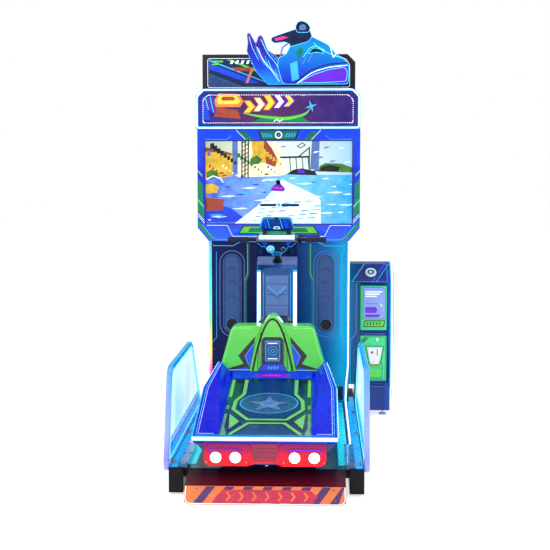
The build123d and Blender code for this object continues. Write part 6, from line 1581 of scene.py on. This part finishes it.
def grips():
    """Moulded foam grips with ribs, an inner flange and an end plug."""
    pair = Piece("handle_grips")
    end, length, radius = span("grips")[1].x, 130.0, 17.0
    profile = [(11.2, 0), (radius, 0.5), (radius, 4), (radius - 2, 6)]
    for k in range(16):
        v = 8 + k * 7.0
        profile += [(radius - 2.6, v), (radius - 0.4, v + 1.4), (radius - 0.2, v + 3.4), (radius - 2.6, v + 5.2)]
    profile += [(radius - 1, 122), (radius, 124), (radius, 128), (radius - 4, 130), (0, 130)]
    lean = Matrix.Rotation(TILT, 4, "X")
    for side in (-1, 1):
        start = PIVOT + lean @ Vector((side * (end - length), 0, 150))
        grow = Matrix.Translation(start * 0.001) @ Vector((side, 0, 0)).to_track_quat("Z",
            "Y").to_matrix().to_4x4() @ WHOLE
        pair.turned(profile, grip_foam, grow, (0, 0), 36)
    pair.done("steering", "grip_rubber", ("grips",), smooth=50)


# ---- behind and inside ----
def behind():
    softened("game_computer", "base", grey_case, 3.0)
    softened("power_supply", "base", grey_case, 2.0)
    softened("rear_door", "back_door", navy_film, 2.0)
    dress("exhaust_fan", dark_plastic)
    dress("fan_rotor", dark_plastic)
    door = span("rear_door")
    back = from_behind(door[1].y)
    guard = Piece("fan_guard")
    for radius in (14, 26, 38, 50, 60):
        loop = [(p.x, door[1].y + 2.2, 900 + p.y) for p in ring(0, 0, radius, 48)]
        guard.swept(loop, ring(0, 0, 1.2, 8), chrome, closed=True, up=(0, 1, 0))
    for k in range(4):
        a = pi / 4 + pi * k / 2
        arm = [(9 * cos(a), door[1].y + 3.4, 900 + 9 * sin(a)), (70 * cos(a), door[1].y + 3.4, 900 + 70 * sin(a))]
        guard.swept(arm, ring(0, 0, 1.4, 8), chrome, up=(0, 1, 0))
        guard.turned([(7, 0), (7, 1.6), (5, 4.4), (0, 4.6)], zinc, back, (-72 * cos(a), 900 + 72 * sin(a)), 20)
    guard.turned([(11, 1), (11, 4.6), (8, 5.6), (0, 5.8)], chrome, back, (0, 900), 28)
    guard.done("back_door", "fan_black")
    lock = Piece("rear_door_lock")
    lock.turned([(14, -0.5), (14, 2.6), (12, 4.6), (9, 4.8), (8.4, 3.6), (0, 3.4)], chrome, back, (-372, 640), 32)
    lock.plate(oblong(-373.5, -370.5, 634, 646, 1.2, 3), hole_dark, back, 3.2, 4.2)
    lock.plate(rounded(oblong(-60, 60, 1010, 1096), 6, 3), silver_cast, back, -0.3, 1.2, 0.6)
    for k in range(5):
        lock.prints([oblong(-46, 20 + (k * 17) % 26, 1024 + k * 13, 1029 + k * 13)], ink_slate, back, 1.6)
    lock.done("back_door", "mech_silver")
    slots = []
    for x in (-210, 0, 210):
        for k in range(9):
            slots.append(((x, door[1].y + 0.2, 240 + k * 26), FAR))
    repeated("rear_door_vents", "back_door", slots, hole_dark, slit, "board_navy", length=0.150, width=0.008,
        height=0.0016)
    hoods = Piece("rear_vent_hoods")
    for x in (-210, 0, 210):
        for k in range(9):
            z = 246 + k * 26
            hoods.swept([(x - 78, door[1].y, z), (x - 70, door[1].y + 3.4, z), (x + 70, door[1].y + 3.4, z),
                (x + 78, door[1].y, z)], oblong(-2.2, 2.2, -1.4, 1.4, 0.8, 3), dark_plastic, up=(0, 1, 0.01))
    hoods.done("back_door", "board_navy")
    house = span("screen_housing")[1].y
    holes = [((x, house + 0.2, 1740 + r * 16), FAR) for x in range(-300, 301, 20) for r in range(6)]
    repeated("housing_rear_vents", "base", holes, hole_dark, hexagon_socket, "print_blue", radius=0.0045,
        height=0.001)
    spots = [((x, house + 0.3, z), FAR) for x in (-490, -245, 0, 245, 490) for z in (1300, 1600, 1880)]
    top = span("marquee_box")[1].y
    spots += [((x, top + 0.3, z), FAR) for x in (-480, 0, 480) for z in (1926, 2080)]
    spots += [((side * 447.5, 1200.3, z), FAR) for side in (-1, 1) for z in (180, 500, 820, 1160)]
    socket_screws("rear_panel_screws", "base", spots, 4.5)
    edging = Piece("side_board_edging")
    for side in (-1, 1):
        path = [(side * 447.5, 729.8, 150), (side * 447.5, 729.8, 1190)]
        edging.swept(path, oblong(-8, 8, -1.2, 1.8, 1.4, 3), rubber, up=NEAR)
    edging.done("base", "rubber_black")
    sides = Piece("cabinet_side_art")
    for side in (-1, 1):
        wall = flank(side, 456.5)
        end = 1190 if side == -1 else 925
        for k, finish in enumerate((ink_teal, ink_blue, ink_lime, ink_sky, ink_violet)):
            a, wide = 300 + (0, 120, 240, 276, 330)[k], (96, 70, 14, 10, 120)[k]
            reach = end - 745
            sides.prints([[(side * 745, a), (side * end, a + reach * 0.62), (side * end, a + reach * 0.62 + wide),
                (side * 745, a + wide)]], finish, wall)
    sides.done("base", "board_navy")


base()
guards()
edge_lights()
floor_glow()
lower_cabinet()
screen_housing()
marquee()
topper()
payment_column()
hull_parts()
deck_art()
tail_lamps()
seat()
column()
steering()
behind()


# ---- floor, light and camera ----
FLOOR_HALF = 30.0
CAMERA_AT = (0.272, -6.720, 1.618)
CAMERA_DOWN, CAMERA_LEFT = 4.97, 2.29
SENSOR, FOCAL_SHARE = 36, 1150 / 550
# How bright the white surroundings light the object, and how bright they look.
SURROUND_LIGHT, SURROUND_SEEN = 0.36, 1.0


def studio():
    ground = bpy.data.meshes.new("floor")
    ground.from_pydata([(-FLOOR_HALF, -FLOOR_HALF, 0), (FLOOR_HALF, -FLOOR_HALF, 0), (FLOOR_HALF, FLOOR_HALF, 0),
        (-FLOOR_HALF, FLOOR_HALF, 0)], [], [(0, 1, 2, 3)])
    # Seamless paper sweep: matt and almost white, with a trace of cloudiness.
    ground.materials.append(surface("seamless_paper_white", "#FAFAFB", 0.85, "#F6F7F8", patch=900, grain=6,
        relief=0.02, uneven=0.05, glow=0.76))
    floor = bpy.data.objects.new("floor", ground)
    bpy.context.collection.objects.link(floor)
    world = bpy.data.worlds.new("studio")
    bpy.context.scene.world = world
    world.use_nodes = True
    back = world.node_tree.nodes["Background"]
    back.inputs["Color"].default_value = linear("#FFFFFF")
    seen = add(world.node_tree, "ShaderNodeLightPath")
    level = add(world.node_tree, "ShaderNodeMapRange", {"To Min": SURROUND_LIGHT, "To Max": SURROUND_SEEN},
        {"Value": seen.outputs["Is Camera Ray"]})
    world.node_tree.links.new(level.outputs["Result"], back.inputs["Strength"])
    for name, place, target, wide, tall, power in (("key", (-2.6, -4.2, 3.6), (0, 0, 1.0), 2.4, 2.4, 80),
            ("fill", (3.4, -3.4, 2.2), (0, 0, 1.0), 2.0, 2.6, 40), ("top", (0.0, -0.6, 4.4), (0, 0, 1.0), 2.6, 2.6,
            40)):
        lamp = bpy.data.lights.new(name, "AREA")
        lamp.shape, lamp.size, lamp.size_y, lamp.energy = "RECTANGLE", wide, tall, power
        holder = bpy.data.objects.new(name, lamp)
        holder.location = place
        holder.rotation_euler = (Vector(target) - Vector(place)).to_track_quat("-Z", "Y").to_euler()
        bpy.context.collection.objects.link(holder)
    lens = bpy.data.cameras.new("camera")
    lens.lens, lens.sensor_width = SENSOR * FOCAL_SHARE, SENSOR
    camera = bpy.data.objects.new("camera", lens)
    camera.location = CAMERA_AT
    camera.rotation_euler = (radians(90 - CAMERA_DOWN), 0, radians(CAMERA_LEFT))
    bpy.context.collection.objects.link(camera)
    bpy.context.scene.camera = camera
    bpy.context.scene.view_settings.view_transform = "Standard"


studio()
